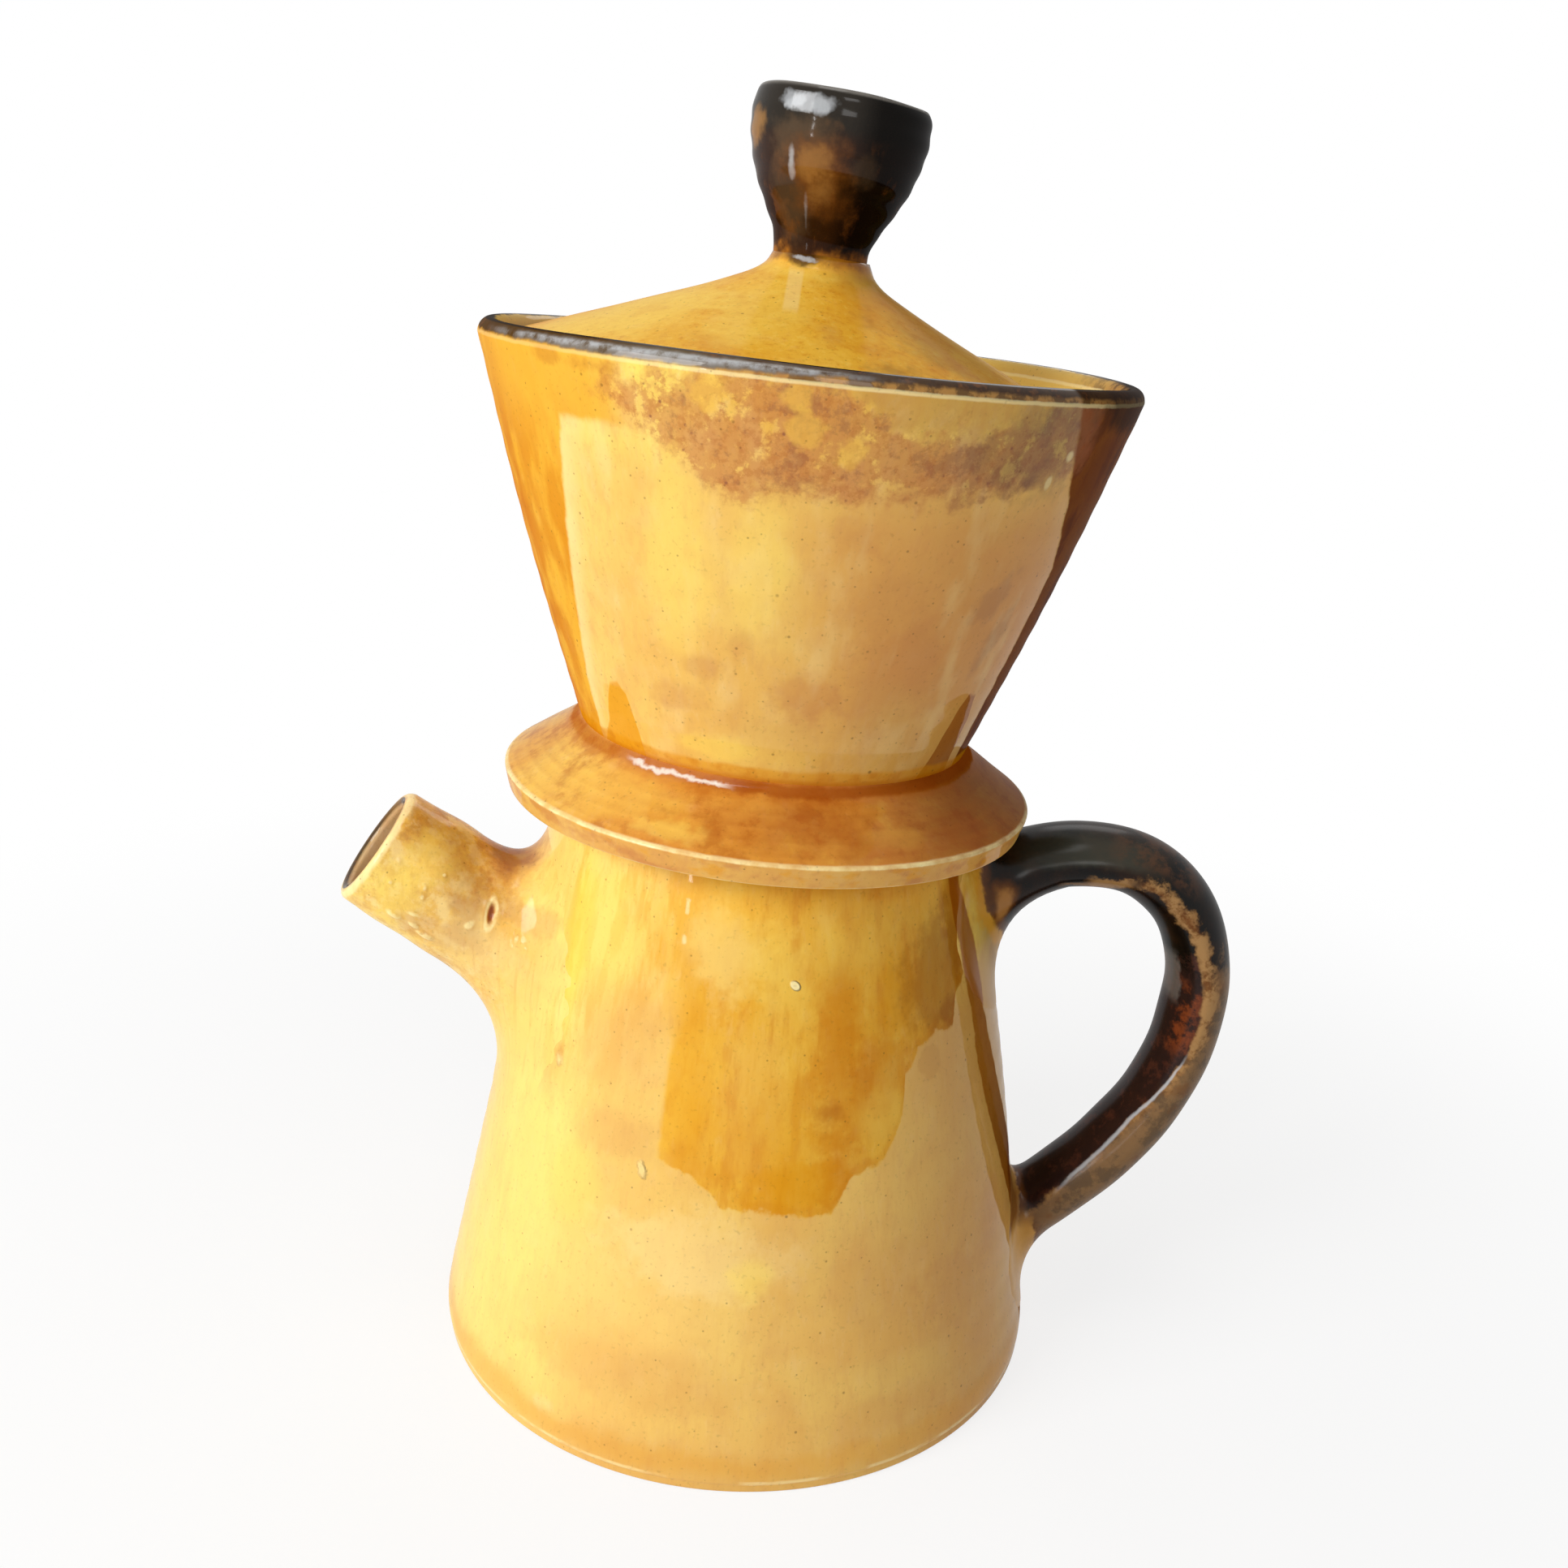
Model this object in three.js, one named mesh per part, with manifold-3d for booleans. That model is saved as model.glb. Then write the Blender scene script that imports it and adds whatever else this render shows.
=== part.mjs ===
// Pottery coffee maker: a pot with a spout and a handle, a drip filter that stands in its mouth, and a lid
// Millimetres, +Z up. The origin is the middle of the foot; the spout points to -X, the handle to +X.
// Each clay member that the potter threw or pulled is a solid of its own, with a hairline joint to the next.
import * as THREE from 'three';
import { mergeVertices } from 'three/addons/utils/BufferGeometryUtils.js';
import Module from 'manifold-3d';

const wasm = await Module();
wasm.setup();

// Pot
const POT_HEIGHT = 131.5; // foot to the rim that the filter stands on
const FOOT_RADIUS = 70.8;
const FOOT_BEVEL = 1.6;
const FOOT_BAND = 4.6; // height at which the wall starts to draw in
const FOOT_ROUND = 2.9; // how far the bend there reaches up and down
const MOUTH_RADIUS = 46;
const POT_WALL = 5;
const POT_FLOOR = 6.5;
const POT_CORNER = 9; // round between the floor and the wall, inside

// Joints between the clay members, and running room of the pieces that lift off
const JOINT_GAP = 0.3;
const SEAT_GAP = 0.3;
const RING_CLEARANCE = 0.8;
const LID_CLEARANCE = 1;

// Spout
const SPOUT_YAW = 10; // degrees, from -X towards the front
const SPOUT_PITCH = 35; // degrees above level
const SPOUT_REACH = 85.8; // pot axis to the middle of the spout's mouth
const SPOUT_DROP = 13.4; // middle of the spout's mouth below the pot's rim
const SPOUT_RADIUS = 14.1;
const SPOUT_LIP_RADIUS = 13.5; // it draws in a little at its mouth
const SPOUT_WALL = 3.4;
const SPOUT_FILLET_ABOVE = 15; // how far the spout widens where it joins the wall
const SPOUT_FILLET_BELOW = 21;

// Handle
const HANDLE_THICKNESS_ABOVE = 14;
const HANDLE_THICKNESS_BELOW = 15;
const HANDLE_WIDTH = 21;
const HANDLE_REACH = 110.2; // pot axis to the outside of the handle
const HANDLE_TOP_DROP = 17.8; // upper root below the pot's rim
const HANDLE_BEND_DROP = 42.7; // outermost point below the pot's rim
const HANDLE_FOOT_RISE = 26; // lower root above the foot
const HANDLE_TOP_ANGLE = 25; // degrees, how steeply it rises from the wall
const HANDLE_FOOT_ANGLE = 38; // degrees, how steeply it comes down to the wall
const HANDLE_TOP_PULL = 45; // how far each end of the two curves runs before it turns
const HANDLE_BEND_PULL_UP = 17.5;
const HANDLE_BEND_PULL_DOWN = 21.5;
const HANDLE_FOOT_PULL = 34.5;
const HANDLE_TOP_FILLET_ABOVE = 8;
const HANDLE_TOP_FILLET_BELOW = 22;
const HANDLE_FOOT_FILLET_ABOVE = 5;
const HANDLE_FOOT_FILLET_BELOW = 12;
const FILLET_EDGE = 0.8; // thickness that every fillet runs out to on the wall
const FILLET_SLIDE = 0.5; // how much of the limb's slope a fillet's edge follows along the wall

// Filter: heights are above the pot's rim, along the filter's own leaning axis
const FILTER_LEAN = 2.45; // degrees, towards the handle
const FILTER_OFF_CENTRE = 0.1; // towards the spout, within the ring's clearance
const SAUCER_RADIUS = 58;
const SAUCER_EDGE = 4.8;
const SAUCER_DROOP = 1.5; // edge's lower side below the pot's rim
const SAUCER_RISE = 10.7; // from the edge up to the cone
const SAUCER_UNDERCUT = 1.3;
const SAUCER_SEAT_MARGIN = 1.5; // flat seat past the pot's rim
const CONE_ROOT_RADIUS = 42.1; // where it leaves the saucer
const CONE_RIM_RADIUS = 67.8;
const CONE_HEIGHT = 78.3; // saucer to the outer edge of the rim
const CONE_LIP = 2.8; // rim's crest above that edge
const CONE_LIP_BEVEL = 2.1; // rim's crest in from that edge
const CONE_LIP_SHOULDER = 0.5; // how far the rim has drawn in halfway up to its crest
const CONE_LIP_FALL = 0.7; // from the crest down to the inner side
const CONE_SWELL = 0.7; // how far its side bows out between saucer and rim
const CONE_WALL = 5;
const CONE_FLOOR = 5;
const DRAIN_HOLES = 3;
const DRAIN_RADIUS = 3;
const DRAIN_CIRCLE = 14;
const RING_DEPTH = 10;
const RING_WALL = 4;
const RING_BEVEL = 1.3;

// Lid: it is wedged in the cone a little askew, as the cone leaves it free to do
const LID_LEAN = 3.45; // degrees, to the filter
const LID_OFF_CENTRE = 0.55; // towards the spout, within the lid's clearance
const LID_SEAT_DEPTH = 7.6; // lid's edge below the rim's crest
const LID_EDGE_RADIUS = 2.2;
const LID_WALL = 4.8;
const LID_RISE = 21; // edge to the foot of the neck
const LID_SHOULDER_RADIUS = 12; // where the neck starts to draw in
const LID_SHOULDER_BEND = 0.13; // share of the slope that the bend there takes
const LID_HOLLOW_RADIUS = 9; // flat top of the hollow
const NECK_RADIUS = 9.7;
const NECK_HEIGHT = 3.8; // foot of the neck to the knob's joint
const KNOB_OFF_CENTRE = 0.5; // towards the spout
const KNOB_HEIGHT = 30.2;
const KNOB_RADIUS = 17.9;
const KNOB_BELLY = 24; // height of the knob's widest ring above its joint
const KNOB_WAIST_FLARE = 0.4; // how far its waist has widened a third of the way up
const KNOB_SIDE_DRAW = 1.6; // how far its side is still in at two thirds
const KNOB_LIP = 4; // thickness of the rim round the dished top
const KNOB_CREST = 1.3; // from the outside of that rim to its top
const KNOB_CREST_DROP = 1; // sides of the rim below its top
const KNOB_DISH = 3;

// Fineness
const ROUND_SIDES = 56;
const SMALL_SIDES = 40;
const LIMB_SIDES = 24;
const BEND_STEPS = 4;
const FILLET_STEPS = 3;
const HANDLE_RINGS = 22;
const HAIR = 1e-6; // how near a search comes to its answer

const degrees = THREE.MathUtils.degToRad;

// Points and solids

const point = (radius, height) => new THREE.Vector2(radius, height);

/** A bend from start to end that the corner pulls outwards. */
function bend(start, corner, end) {
  return new THREE.QuadraticBezierCurve(start, corner, end).getPoints(BEND_STEPS);
}

/** A closed geometry as a solid that can be joined and cut. */
function solidOf(geometry) {
  geometry.deleteAttribute('normal');
  geometry.deleteAttribute('uv');
  const merged = mergeVertices(geometry);
  const index = merged.index.array;
  const triangles = [];
  for (let i = 0; i < index.length; i += 3) {
    const [a, b, c] = index.slice(i, i + 3);
    if (a !== b && b !== c && c !== a) triangles.push(a, b, c);
  }
  return new wasm.Manifold(
    new wasm.Mesh({
      numProp: 3,
      vertProperties: new Float32Array(merged.attributes.position.array),
      triVerts: new Uint32Array(triangles),
    }),
  );
}

/** A solid turned on the wheel: the outline runs from the lower axis outwards, up and back. */
function turned(outline, sides = ROUND_SIDES) {
  return solidOf(new THREE.LatheGeometry(outline, sides).rotateX(Math.PI / 2));
}

/** A turned ring: the outline goes once round, up on the outside and down on the inside. */
function turnedRing(outline, sides = ROUND_SIDES) {
  return turned([...outline, outline[0]], sides);
}

/** A round rod from one height to another, in the frame of a matrix. */
function rod(radius, low, high, matrix = new THREE.Matrix4(), sides = ROUND_SIDES) {
  const geometry = new THREE.CylinderGeometry(radius, radius, high - low, sides);
  return solidOf(geometry.rotateX(Math.PI / 2).translate(0, 0, (low + high) / 2).applyMatrix4(matrix));
}

/** A closed skin through rings of as many points each, which turn anticlockwise seen from the last ring. */
function skin(rings) {
  const sides = rings[0].length;
  const middle = (ring) => ring.reduce((sum, p) => sum.add(p), new THREE.Vector3()).divideScalar(sides);
  const points = [...rings.flat(), middle(rings[0]), middle(rings.at(-1))];
  const first = points.length - 2;
  const last = points.length - 1;
  const top = (rings.length - 1) * sides;
  const faces = [];
  for (let side = 0; side < sides; side++) {
    const next = (side + 1) % sides;
    faces.push(first, next, side, last, top + side, top + next);
    for (let low = 0; low < top; low += sides) {
      const high = low + sides;
      faces.push(low + side, low + next, high + next);
      faces.push(low + side, high + next, high + side);
    }
  }
  const geometry = new THREE.BufferGeometry().setFromPoints(points);
  geometry.setIndex(faces);
  return solidOf(geometry);
}

// Pot

const taperPerMm = (FOOT_RADIUS - MOUTH_RADIUS) / (POT_HEIGHT - FOOT_BAND);
const wallSlant = Math.hypot(1, taperPerMm);

/** Outer radius of the pot's straight wall at a height. */
const wallRadius = (height) => MOUTH_RADIUS + (POT_HEIGHT - height) * taperPerMm;
const innerWallRadius = (height) => wallRadius(height) - POT_WALL * wallSlant;

/** The pot without its hollow, swollen by a margin, up to a height. */
function potBlock(margin, top) {
  const foot = FOOT_RADIUS + margin;
  const bendTop = FOOT_BAND + FOOT_ROUND;
  return turned([
    point(0, 0),
    point(foot - FOOT_BEVEL, 0),
    point(foot, FOOT_BEVEL),
    ...bend(
      point(foot, FOOT_BAND - FOOT_ROUND),
      point(foot, FOOT_BAND),
      point(wallRadius(bendTop) + margin, bendTop),
    ),
    point(wallRadius(top) + margin, top),
    point(0, top),
  ]);
}

/** The room inside the pot, up to a height. */
function potRoom(top) {
  const cornerTop = POT_FLOOR + POT_CORNER;
  return turned([
    point(0, POT_FLOOR),
    ...bend(
      point(innerWallRadius(POT_FLOOR) - POT_CORNER, POT_FLOOR),
      point(innerWallRadius(POT_FLOOR), POT_FLOOR),
      point(innerWallRadius(cornerTop), cornerTop),
    ),
    point(innerWallRadius(top), top),
    point(0, top),
  ]);
}

const rimFrame = new THREE.Matrix4()
  .makeTranslation(0, 0, POT_HEIGHT)
  .multiply(new THREE.Matrix4().makeRotationY(degrees(FILTER_LEAN)));
const mouthBore = MOUTH_RADIUS - POT_WALL * wallSlant;
const aboveRim = POT_HEIGHT + MOUTH_RADIUS; // a height well past the slanting rim
const BORE_RUNOUT = 3;

/** The thrown pot: its rim is cut and its mouth bored true to the filter's lean. */
function potBody(spoutBore) {
  const offcut = rod(FOOT_RADIUS, 0, aboveRim - POT_HEIGHT + MOUTH_RADIUS, rimFrame);
  const bore = rod(mouthBore, -RING_DEPTH - BORE_RUNOUT, MOUTH_RADIUS, rimFrame);
  const jar = potBlock(0, aboveRim).subtract(potRoom(aboveRim));
  return jar.subtract(offcut).subtract(bore).subtract(spoutBore);
}

// Limbs: the spout and the handle, which grow out of the pot's wall

/** A point brought straight out or in to the pot's wall. */
function ontoWall(place) {
  const radius = wallRadius(place.z);
  const spread = radius / Math.hypot(place.x, place.y);
  return new THREE.Vector3(place.x * spread, place.y * spread, place.z);
}

/** The length at which a limb's side line leaves the pot's wall, between one inside and one outside. */
function leavesWallAt(sideLine, wallSide, freeSide) {
  let inside = wallSide;
  let outside = freeSide;
  while (outside - inside > HAIR) {
    const length = (inside + outside) / 2;
    const place = sideLine(length);
    if (Math.hypot(place.x, place.y) < wallRadius(place.z)) inside = length;
    else outside = length;
  }
  return outside;
}

/**
 * Rings that carry a limb from its free stretch into the wall, with a fillet along each side line.
 * sideLine(side, length) is a point of the limb's skin, with length counted from the wall along its middle.
 */
function rootRings(sideLine, filletReach, deepest, freeLength) {
  const rings = Array.from({ length: FILLET_STEPS + 3 }, () => []);
  for (let side = 0; side < LIMB_SIDES; side++) {
    const line = (length) => sideLine(side, length);
    const reach = filletReach(side);
    const exit = leavesWallAt(line, deepest, freeLength);
    const corner = line(exit);
    const start = line(exit + reach);
    const fromMiddle = corner.clone().sub(sideLine(-1, exit)).normalize();
    const inwards = corner.clone().sub(start).normalize();
    const wallNormal = new THREE.Vector3(corner.x, corner.y, 0).normalize().setZ(taperPerMm).normalize();
    const alongWall = fromMiddle.addScaledVector(inwards, FILLET_SLIDE);
    alongWall.projectOnPlane(wallNormal).normalize();
    const foot = ontoWall(corner.clone().addScaledVector(alongWall, reach));
    const end = foot.clone().addScaledVector(wallNormal, FILLET_EDGE);
    const fillet = new THREE.QuadraticBezierCurve3(start, corner, end).getPoints(FILLET_STEPS + 1);
    fillet.push(foot.addScaledVector(wallNormal, -POT_WALL / 2));
    fillet.forEach((place, step) => rings[step].push(place));
  }
  return rings;
}

/** The fillet's reach at each side line: one value where up points, and another on the far side. */
function filletFromTo(upper, lower) {
  return (side) => {
    const share = (1 - Math.cos((side / LIMB_SIDES) * 2 * Math.PI)) / 2;
    return THREE.MathUtils.lerp(upper, lower, share);
  };
}

/** A side line's place round a limb's oval section; side -1 is the limb's middle. */
function onSection(frame, side, halfHeight, halfWidth) {
  const place = frame.centre.clone();
  if (side < 0) return place;
  const turn = (side / LIMB_SIDES) * 2 * Math.PI;
  place.addScaledVector(frame.up, halfHeight * Math.cos(turn));
  return place.addScaledVector(frame.across, halfWidth * Math.sin(turn));
}

// Spout

const spoutYaw = degrees(SPOUT_YAW);
const spoutPitch = degrees(SPOUT_PITCH);
const spoutOut = new THREE.Vector3(
  -Math.cos(spoutPitch) * Math.cos(spoutYaw),
  -Math.cos(spoutPitch) * Math.sin(spoutYaw),
  Math.sin(spoutPitch),
);
const spoutUp = new THREE.Vector3(
  Math.sin(spoutPitch) * Math.cos(spoutYaw),
  Math.sin(spoutPitch) * Math.sin(spoutYaw),
  Math.cos(spoutPitch),
);
const spoutAcross = new THREE.Vector3().crossVectors(spoutOut, spoutUp);
const spoutTip = new THREE.Vector3(
  -SPOUT_REACH * Math.cos(spoutYaw),
  -SPOUT_REACH * Math.sin(spoutYaw),
  POT_HEIGHT - SPOUT_DROP,
);
const spoutLength = SPOUT_REACH / Math.cos(spoutPitch);
const spoutRoot = spoutTip.clone().addScaledVector(spoutOut, -spoutLength); // on the pot's axis

/** A point of the spout's skin, length counted from the pot's axis. */
function spoutSide(side, length, thinner = 0) {
  const nearTip = THREE.MathUtils.smoothstep(length, spoutLength - SPOUT_RADIUS, spoutLength);
  const radius = THREE.MathUtils.lerp(SPOUT_RADIUS, SPOUT_LIP_RADIUS, nearTip) - thinner;
  const centre = spoutRoot.clone().addScaledVector(spoutOut, length);
  return onSection({ centre, up: spoutUp, across: spoutAcross }, side, radius, radius);
}

/** One ring round the spout at a length from the pot's axis. */
function spoutRing(length, thinner) {
  return Array.from({ length: LIMB_SIDES }, (_, side) => spoutSide(side, length, thinner));
}

/** The spout's bore, from inside the pot to past its mouth. */
function spoutBore() {
  const innerEnd = innerWallRadius(POT_HEIGHT) / 2;
  return skin([spoutRing(innerEnd, SPOUT_WALL), spoutRing(spoutLength + SPOUT_RADIUS, SPOUT_WALL)]);
}

/** The spout: a tube that widens into the pot's wall, more below than above. */
function spout(bore, potOutside) {
  const filletReach = filletFromTo(SPOUT_FILLET_ABOVE, SPOUT_FILLET_BELOW);
  const rings = [
    spoutRing(spoutLength),
    spoutRing(spoutLength - SPOUT_RADIUS / 2),
    spoutRing(spoutLength - SPOUT_RADIUS),
    ...rootRings(spoutSide, filletReach, 0, spoutLength),
  ];
  return skin(rings.reverse()).subtract(bore).subtract(potOutside);
}

// Handle

const handleTop = POT_HEIGHT - HANDLE_TOP_DROP;
const handleTurn = new THREE.Vector3(
  HANDLE_REACH - (HANDLE_THICKNESS_ABOVE + HANDLE_THICKNESS_BELOW) / 4,
  0,
  POT_HEIGHT - HANDLE_BEND_DROP,
); // on the handle's middle line, where it has its mean thickness

/** A point out from the pot's wall at a height, along a slope. */
function outFromWall(height, angle, distance) {
  return new THREE.Vector3(
    wallRadius(height) + distance * Math.cos(degrees(angle)),
    0,
    height + distance * Math.sin(degrees(angle)),
  );
}

const handleLine = new THREE.CurvePath();
handleLine.add(
  new THREE.CubicBezierCurve3(
    outFromWall(handleTop, HANDLE_TOP_ANGLE, 0),
    outFromWall(handleTop, HANDLE_TOP_ANGLE, HANDLE_TOP_PULL),
    handleTurn.clone().setZ(handleTurn.z + HANDLE_BEND_PULL_UP),
    handleTurn,
  ),
);
handleLine.add(
  new THREE.CubicBezierCurve3(
    handleTurn,
    handleTurn.clone().setZ(handleTurn.z - HANDLE_BEND_PULL_DOWN),
    outFromWall(HANDLE_FOOT_RISE, HANDLE_FOOT_ANGLE, HANDLE_FOOT_PULL),
    outFromWall(HANDLE_FOOT_RISE, HANDLE_FOOT_ANGLE, 0),
  ),
);
const handleLength = handleLine.getLength();

/** A point of the handle's skin. Length runs along its middle from the upper root, straight past each end. */
function handleSide(side, length) {
  const share = THREE.MathUtils.clamp(length / handleLength, 0, 1);
  const along = handleLine.getTangentAt(share);
  const centre = handleLine.getPointAt(share).addScaledVector(along, length - share * handleLength);
  const across = new THREE.Vector3(0, -1, 0);
  const up = new THREE.Vector3().crossVectors(across, along);
  const thickness = THREE.MathUtils.lerp(HANDLE_THICKNESS_ABOVE, HANDLE_THICKNESS_BELOW, share);
  return onSection({ centre, up, across }, side, thickness / 2, HANDLE_WIDTH / 2);
}

/** One ring round the handle. */
function handleRing(length) {
  return Array.from({ length: LIMB_SIDES }, (_, side) => handleSide(side, length));
}

/** The pulled handle, rounded into the pot's wall at both ends. */
function handle(potOutside) {
  const free = 2 * HANDLE_THICKNESS_BELOW; // past both fillets
  const topFillet = filletFromTo(HANDLE_TOP_FILLET_ABOVE, HANDLE_TOP_FILLET_BELOW);
  const upper = rootRings(handleSide, topFillet, -HANDLE_THICKNESS_BELOW, free);
  const fromFoot = (side, length) => handleSide(side, handleLength - length);
  const footFillet = filletFromTo(HANDLE_FOOT_FILLET_BELOW, HANDLE_FOOT_FILLET_ABOVE); // its up points down
  const lower = rootRings(fromFoot, footFillet, -HANDLE_THICKNESS_BELOW, free);
  const middle = [];
  for (let ring = 0; ring <= HANDLE_RINGS; ring++) {
    middle.push(handleRing(free + ((handleLength - 2 * free) * ring) / HANDLE_RINGS));
  }
  return skin([...upper.reverse(), ...middle, ...lower]).subtract(potOutside);
}

// Filter, in its own frame: heights above its seat on the pot's rim

const saucerTop = SAUCER_EDGE - SAUCER_DROOP;
const coneRoot = saucerTop + SAUCER_RISE;
const coneRim = coneRoot + CONE_HEIGHT;
const rimCrest = coneRim + CONE_LIP;
const coneSpread = (CONE_RIM_RADIUS - CONE_ROOT_RADIUS) / CONE_HEIGHT;
const coneSlant = Math.hypot(1, coneSpread);

const coneRadius = (height) => CONE_ROOT_RADIUS + (height - coneRoot) * coneSpread;
const coneInnerRadius = (height) => coneRadius(height) - CONE_WALL * coneSlant;
const coneMiddle = (coneRoot + coneRim) / 2;

/** The drip cone: a flowerpot with drain holes in its floor and a rounded rim. */
function filterCone() {
  const innerCrest = rimCrest - CONE_LIP_FALL;
  const shell = turned([
    point(0, JOINT_GAP),
    point(coneRadius(JOINT_GAP), JOINT_GAP),
    ...bend(
      point(CONE_ROOT_RADIUS, coneRoot),
      point(coneRadius(coneMiddle) + 2 * CONE_SWELL, coneMiddle), // the bend goes half as far out
      point(CONE_RIM_RADIUS, coneRim),
    ),
    point(CONE_RIM_RADIUS - CONE_LIP_SHOULDER, coneRim + CONE_LIP / 2),
    point(CONE_RIM_RADIUS - CONE_LIP_BEVEL, rimCrest),
    point(coneInnerRadius(innerCrest), innerCrest),
    point(coneInnerRadius(CONE_FLOOR), CONE_FLOOR),
    point(0, CONE_FLOOR),
  ]);
  let cone = shell;
  for (let hole = 0; hole < DRAIN_HOLES; hole++) {
    const turn = (hole / DRAIN_HOLES) * 2 * Math.PI;
    const place = new THREE.Matrix4().makeTranslation(
      DRAIN_CIRCLE * Math.cos(turn),
      DRAIN_CIRCLE * Math.sin(turn),
      0,
    );
    cone = cone.subtract(rod(DRAIN_RADIUS, -CONE_FLOOR, 2 * CONE_FLOOR, place, LIMB_SIDES));
  }
  return cone;
}

/** The saucer: a sloping skirt round the foot of the cone, flat below where it stands on the pot's rim. */
function filterSaucer() {
  return turnedRing([
    point(coneRadius(0) + JOINT_GAP, 0),
    point(MOUTH_RADIUS + SAUCER_SEAT_MARGIN, 0),
    point(SAUCER_RADIUS - SAUCER_UNDERCUT, -SAUCER_DROOP),
    point(SAUCER_RADIUS, saucerTop - SAUCER_EDGE / 2),
    point(SAUCER_RADIUS, saucerTop),
    point(CONE_ROOT_RADIUS + JOINT_GAP, coneRoot),
  ]);
}

/** The ring below the saucer that keeps the filter in the middle of the pot's mouth. */
function locatingRing() {
  const outer = mouthBore - RING_CLEARANCE;
  const inner = outer - RING_WALL;
  return turnedRing([
    point(inner, -RING_DEPTH),
    point(outer - RING_BEVEL, -RING_DEPTH),
    point(outer, RING_BEVEL - RING_DEPTH),
    point(outer, -JOINT_GAP),
    point(inner, -JOINT_GAP),
  ]);
}

// Lid, in its own frame: heights above the middle of its edge

const lidSeat = rimCrest - LID_SEAT_DEPTH;
const lidRadius = coneInnerRadius(lidSeat) - LID_CLEARANCE;
const neckTop = LID_RISE + NECK_HEIGHT;

/** The lid's shell: a shallow cone, hollow below, that draws in to the knob's neck. */
function lidDome() {
  const edge = lidRadius - LID_EDGE_RADIUS;
  const shoulder = point(LID_SHOULDER_RADIUS, LID_RISE);
  const beforeShoulder = shoulder.clone().lerp(point(edge, 0), LID_SHOULDER_BEND);
  return turned([
    point(0, LID_RISE - LID_WALL),
    point(LID_HOLLOW_RADIUS, LID_RISE - LID_WALL),
    point(edge - LID_WALL, -LID_EDGE_RADIUS),
    ...bend(point(edge, -LID_EDGE_RADIUS), point(lidRadius, -LID_EDGE_RADIUS), point(lidRadius, 0)),
    ...bend(point(lidRadius, 0), point(lidRadius, LID_EDGE_RADIUS), point(edge, LID_EDGE_RADIUS)).slice(1),
    ...bend(beforeShoulder, shoulder, point(NECK_RADIUS, neckTop)),
    point(0, neckTop),
  ]);
}

/** The knob: a goblet shape with a dished top, thrown by itself and joined at its neck. */
function lidKnob() {
  const foot = neckTop + JOINT_GAP;
  const top = neckTop + KNOB_HEIGHT;
  const belly = neckTop + KNOB_BELLY;
  const flare = new THREE.CubicBezierCurve(
    point(NECK_RADIUS, foot),
    point(NECK_RADIUS + KNOB_WAIST_FLARE, foot + KNOB_BELLY / 3),
    point(KNOB_RADIUS - KNOB_SIDE_DRAW, belly - KNOB_BELLY / 3),
    point(KNOB_RADIUS, belly),
  );
  return turned(
    [
      point(0, foot),
      ...flare.getPoints(2 * BEND_STEPS),
      point(KNOB_RADIUS - KNOB_CREST / 2, top - KNOB_CREST_DROP),
      point(KNOB_RADIUS - KNOB_CREST, top),
      point(KNOB_RADIUS - KNOB_LIP, top - KNOB_CREST_DROP),
      point(0, top - KNOB_DISH),
    ],
    SMALL_SIDES,
  );
}

// The scene

const AMBER_GLAZE = { color: 0xd9962f, roughness: 0.18, metalness: 0 };
const DARK_GLAZE = { color: 0x2a1a10, roughness: 0.2, metalness: 0 };

/** A named piece of glazed clay. */
function piece(name, solid, finish) {
  const { vertProperties, triVerts } = solid.getMesh();
  const geometry = new THREE.BufferGeometry();
  geometry.setAttribute('position', new THREE.BufferAttribute(vertProperties, 3));
  geometry.setIndex(new THREE.BufferAttribute(triVerts, 1));
  geometry.computeVertexNormals();
  const mesh = new THREE.Mesh(geometry, new THREE.MeshStandardMaterial(finish));
  mesh.name = name;
  return mesh;
}

const bore = spoutBore();
const potOutside = potBlock(JOINT_GAP, aboveRim);

const pot = new THREE.Group();
pot.add(piece('pot_body', potBody(bore), AMBER_GLAZE));
pot.add(piece('spout', spout(bore, potOutside), AMBER_GLAZE));
pot.add(piece('handle', handle(potOutside), DARK_GLAZE));

const lid = new THREE.Group();
const lidWedged = lidRadius * Math.sin(degrees(LID_LEAN)) * coneSpread; // a leaning disc moves over
lid.position.set(-lidWedged - LID_OFF_CENTRE, 0, lidSeat);
lid.rotation.y = degrees(LID_LEAN);
lid.add(piece('lid_dome', lidDome(), AMBER_GLAZE));
lid.add(piece('lid_knob', lidKnob().translate([-KNOB_OFF_CENTRE, 0, 0]), DARK_GLAZE));

const filter = new THREE.Group();
filter.applyMatrix4(rimFrame);
filter.translateZ(SEAT_GAP);
filter.translateX(-FILTER_OFF_CENTRE);
filter.add(piece('filter_cone', filterCone(), AMBER_GLAZE));
filter.add(piece('filter_saucer', filterSaucer(), AMBER_GLAZE));
filter.add(piece('filter_locating_ring', locatingRing(), AMBER_GLAZE));
filter.add(lid);

const coffeeMaker = new THREE.Group();
coffeeMaker.add(pot, filter);

export default coffeeMaker;
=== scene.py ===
"""Looks of a pottery coffee maker: thrown clay under honey and dark glaze, in a plain studio."""

import logging
import math
from dataclasses import dataclass
from enum import Enum
from typing import Any, Callable, Optional, Sequence, Union

import bmesh
import bpy
import numpy as np
from mathutils import Matrix, Vector


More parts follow.
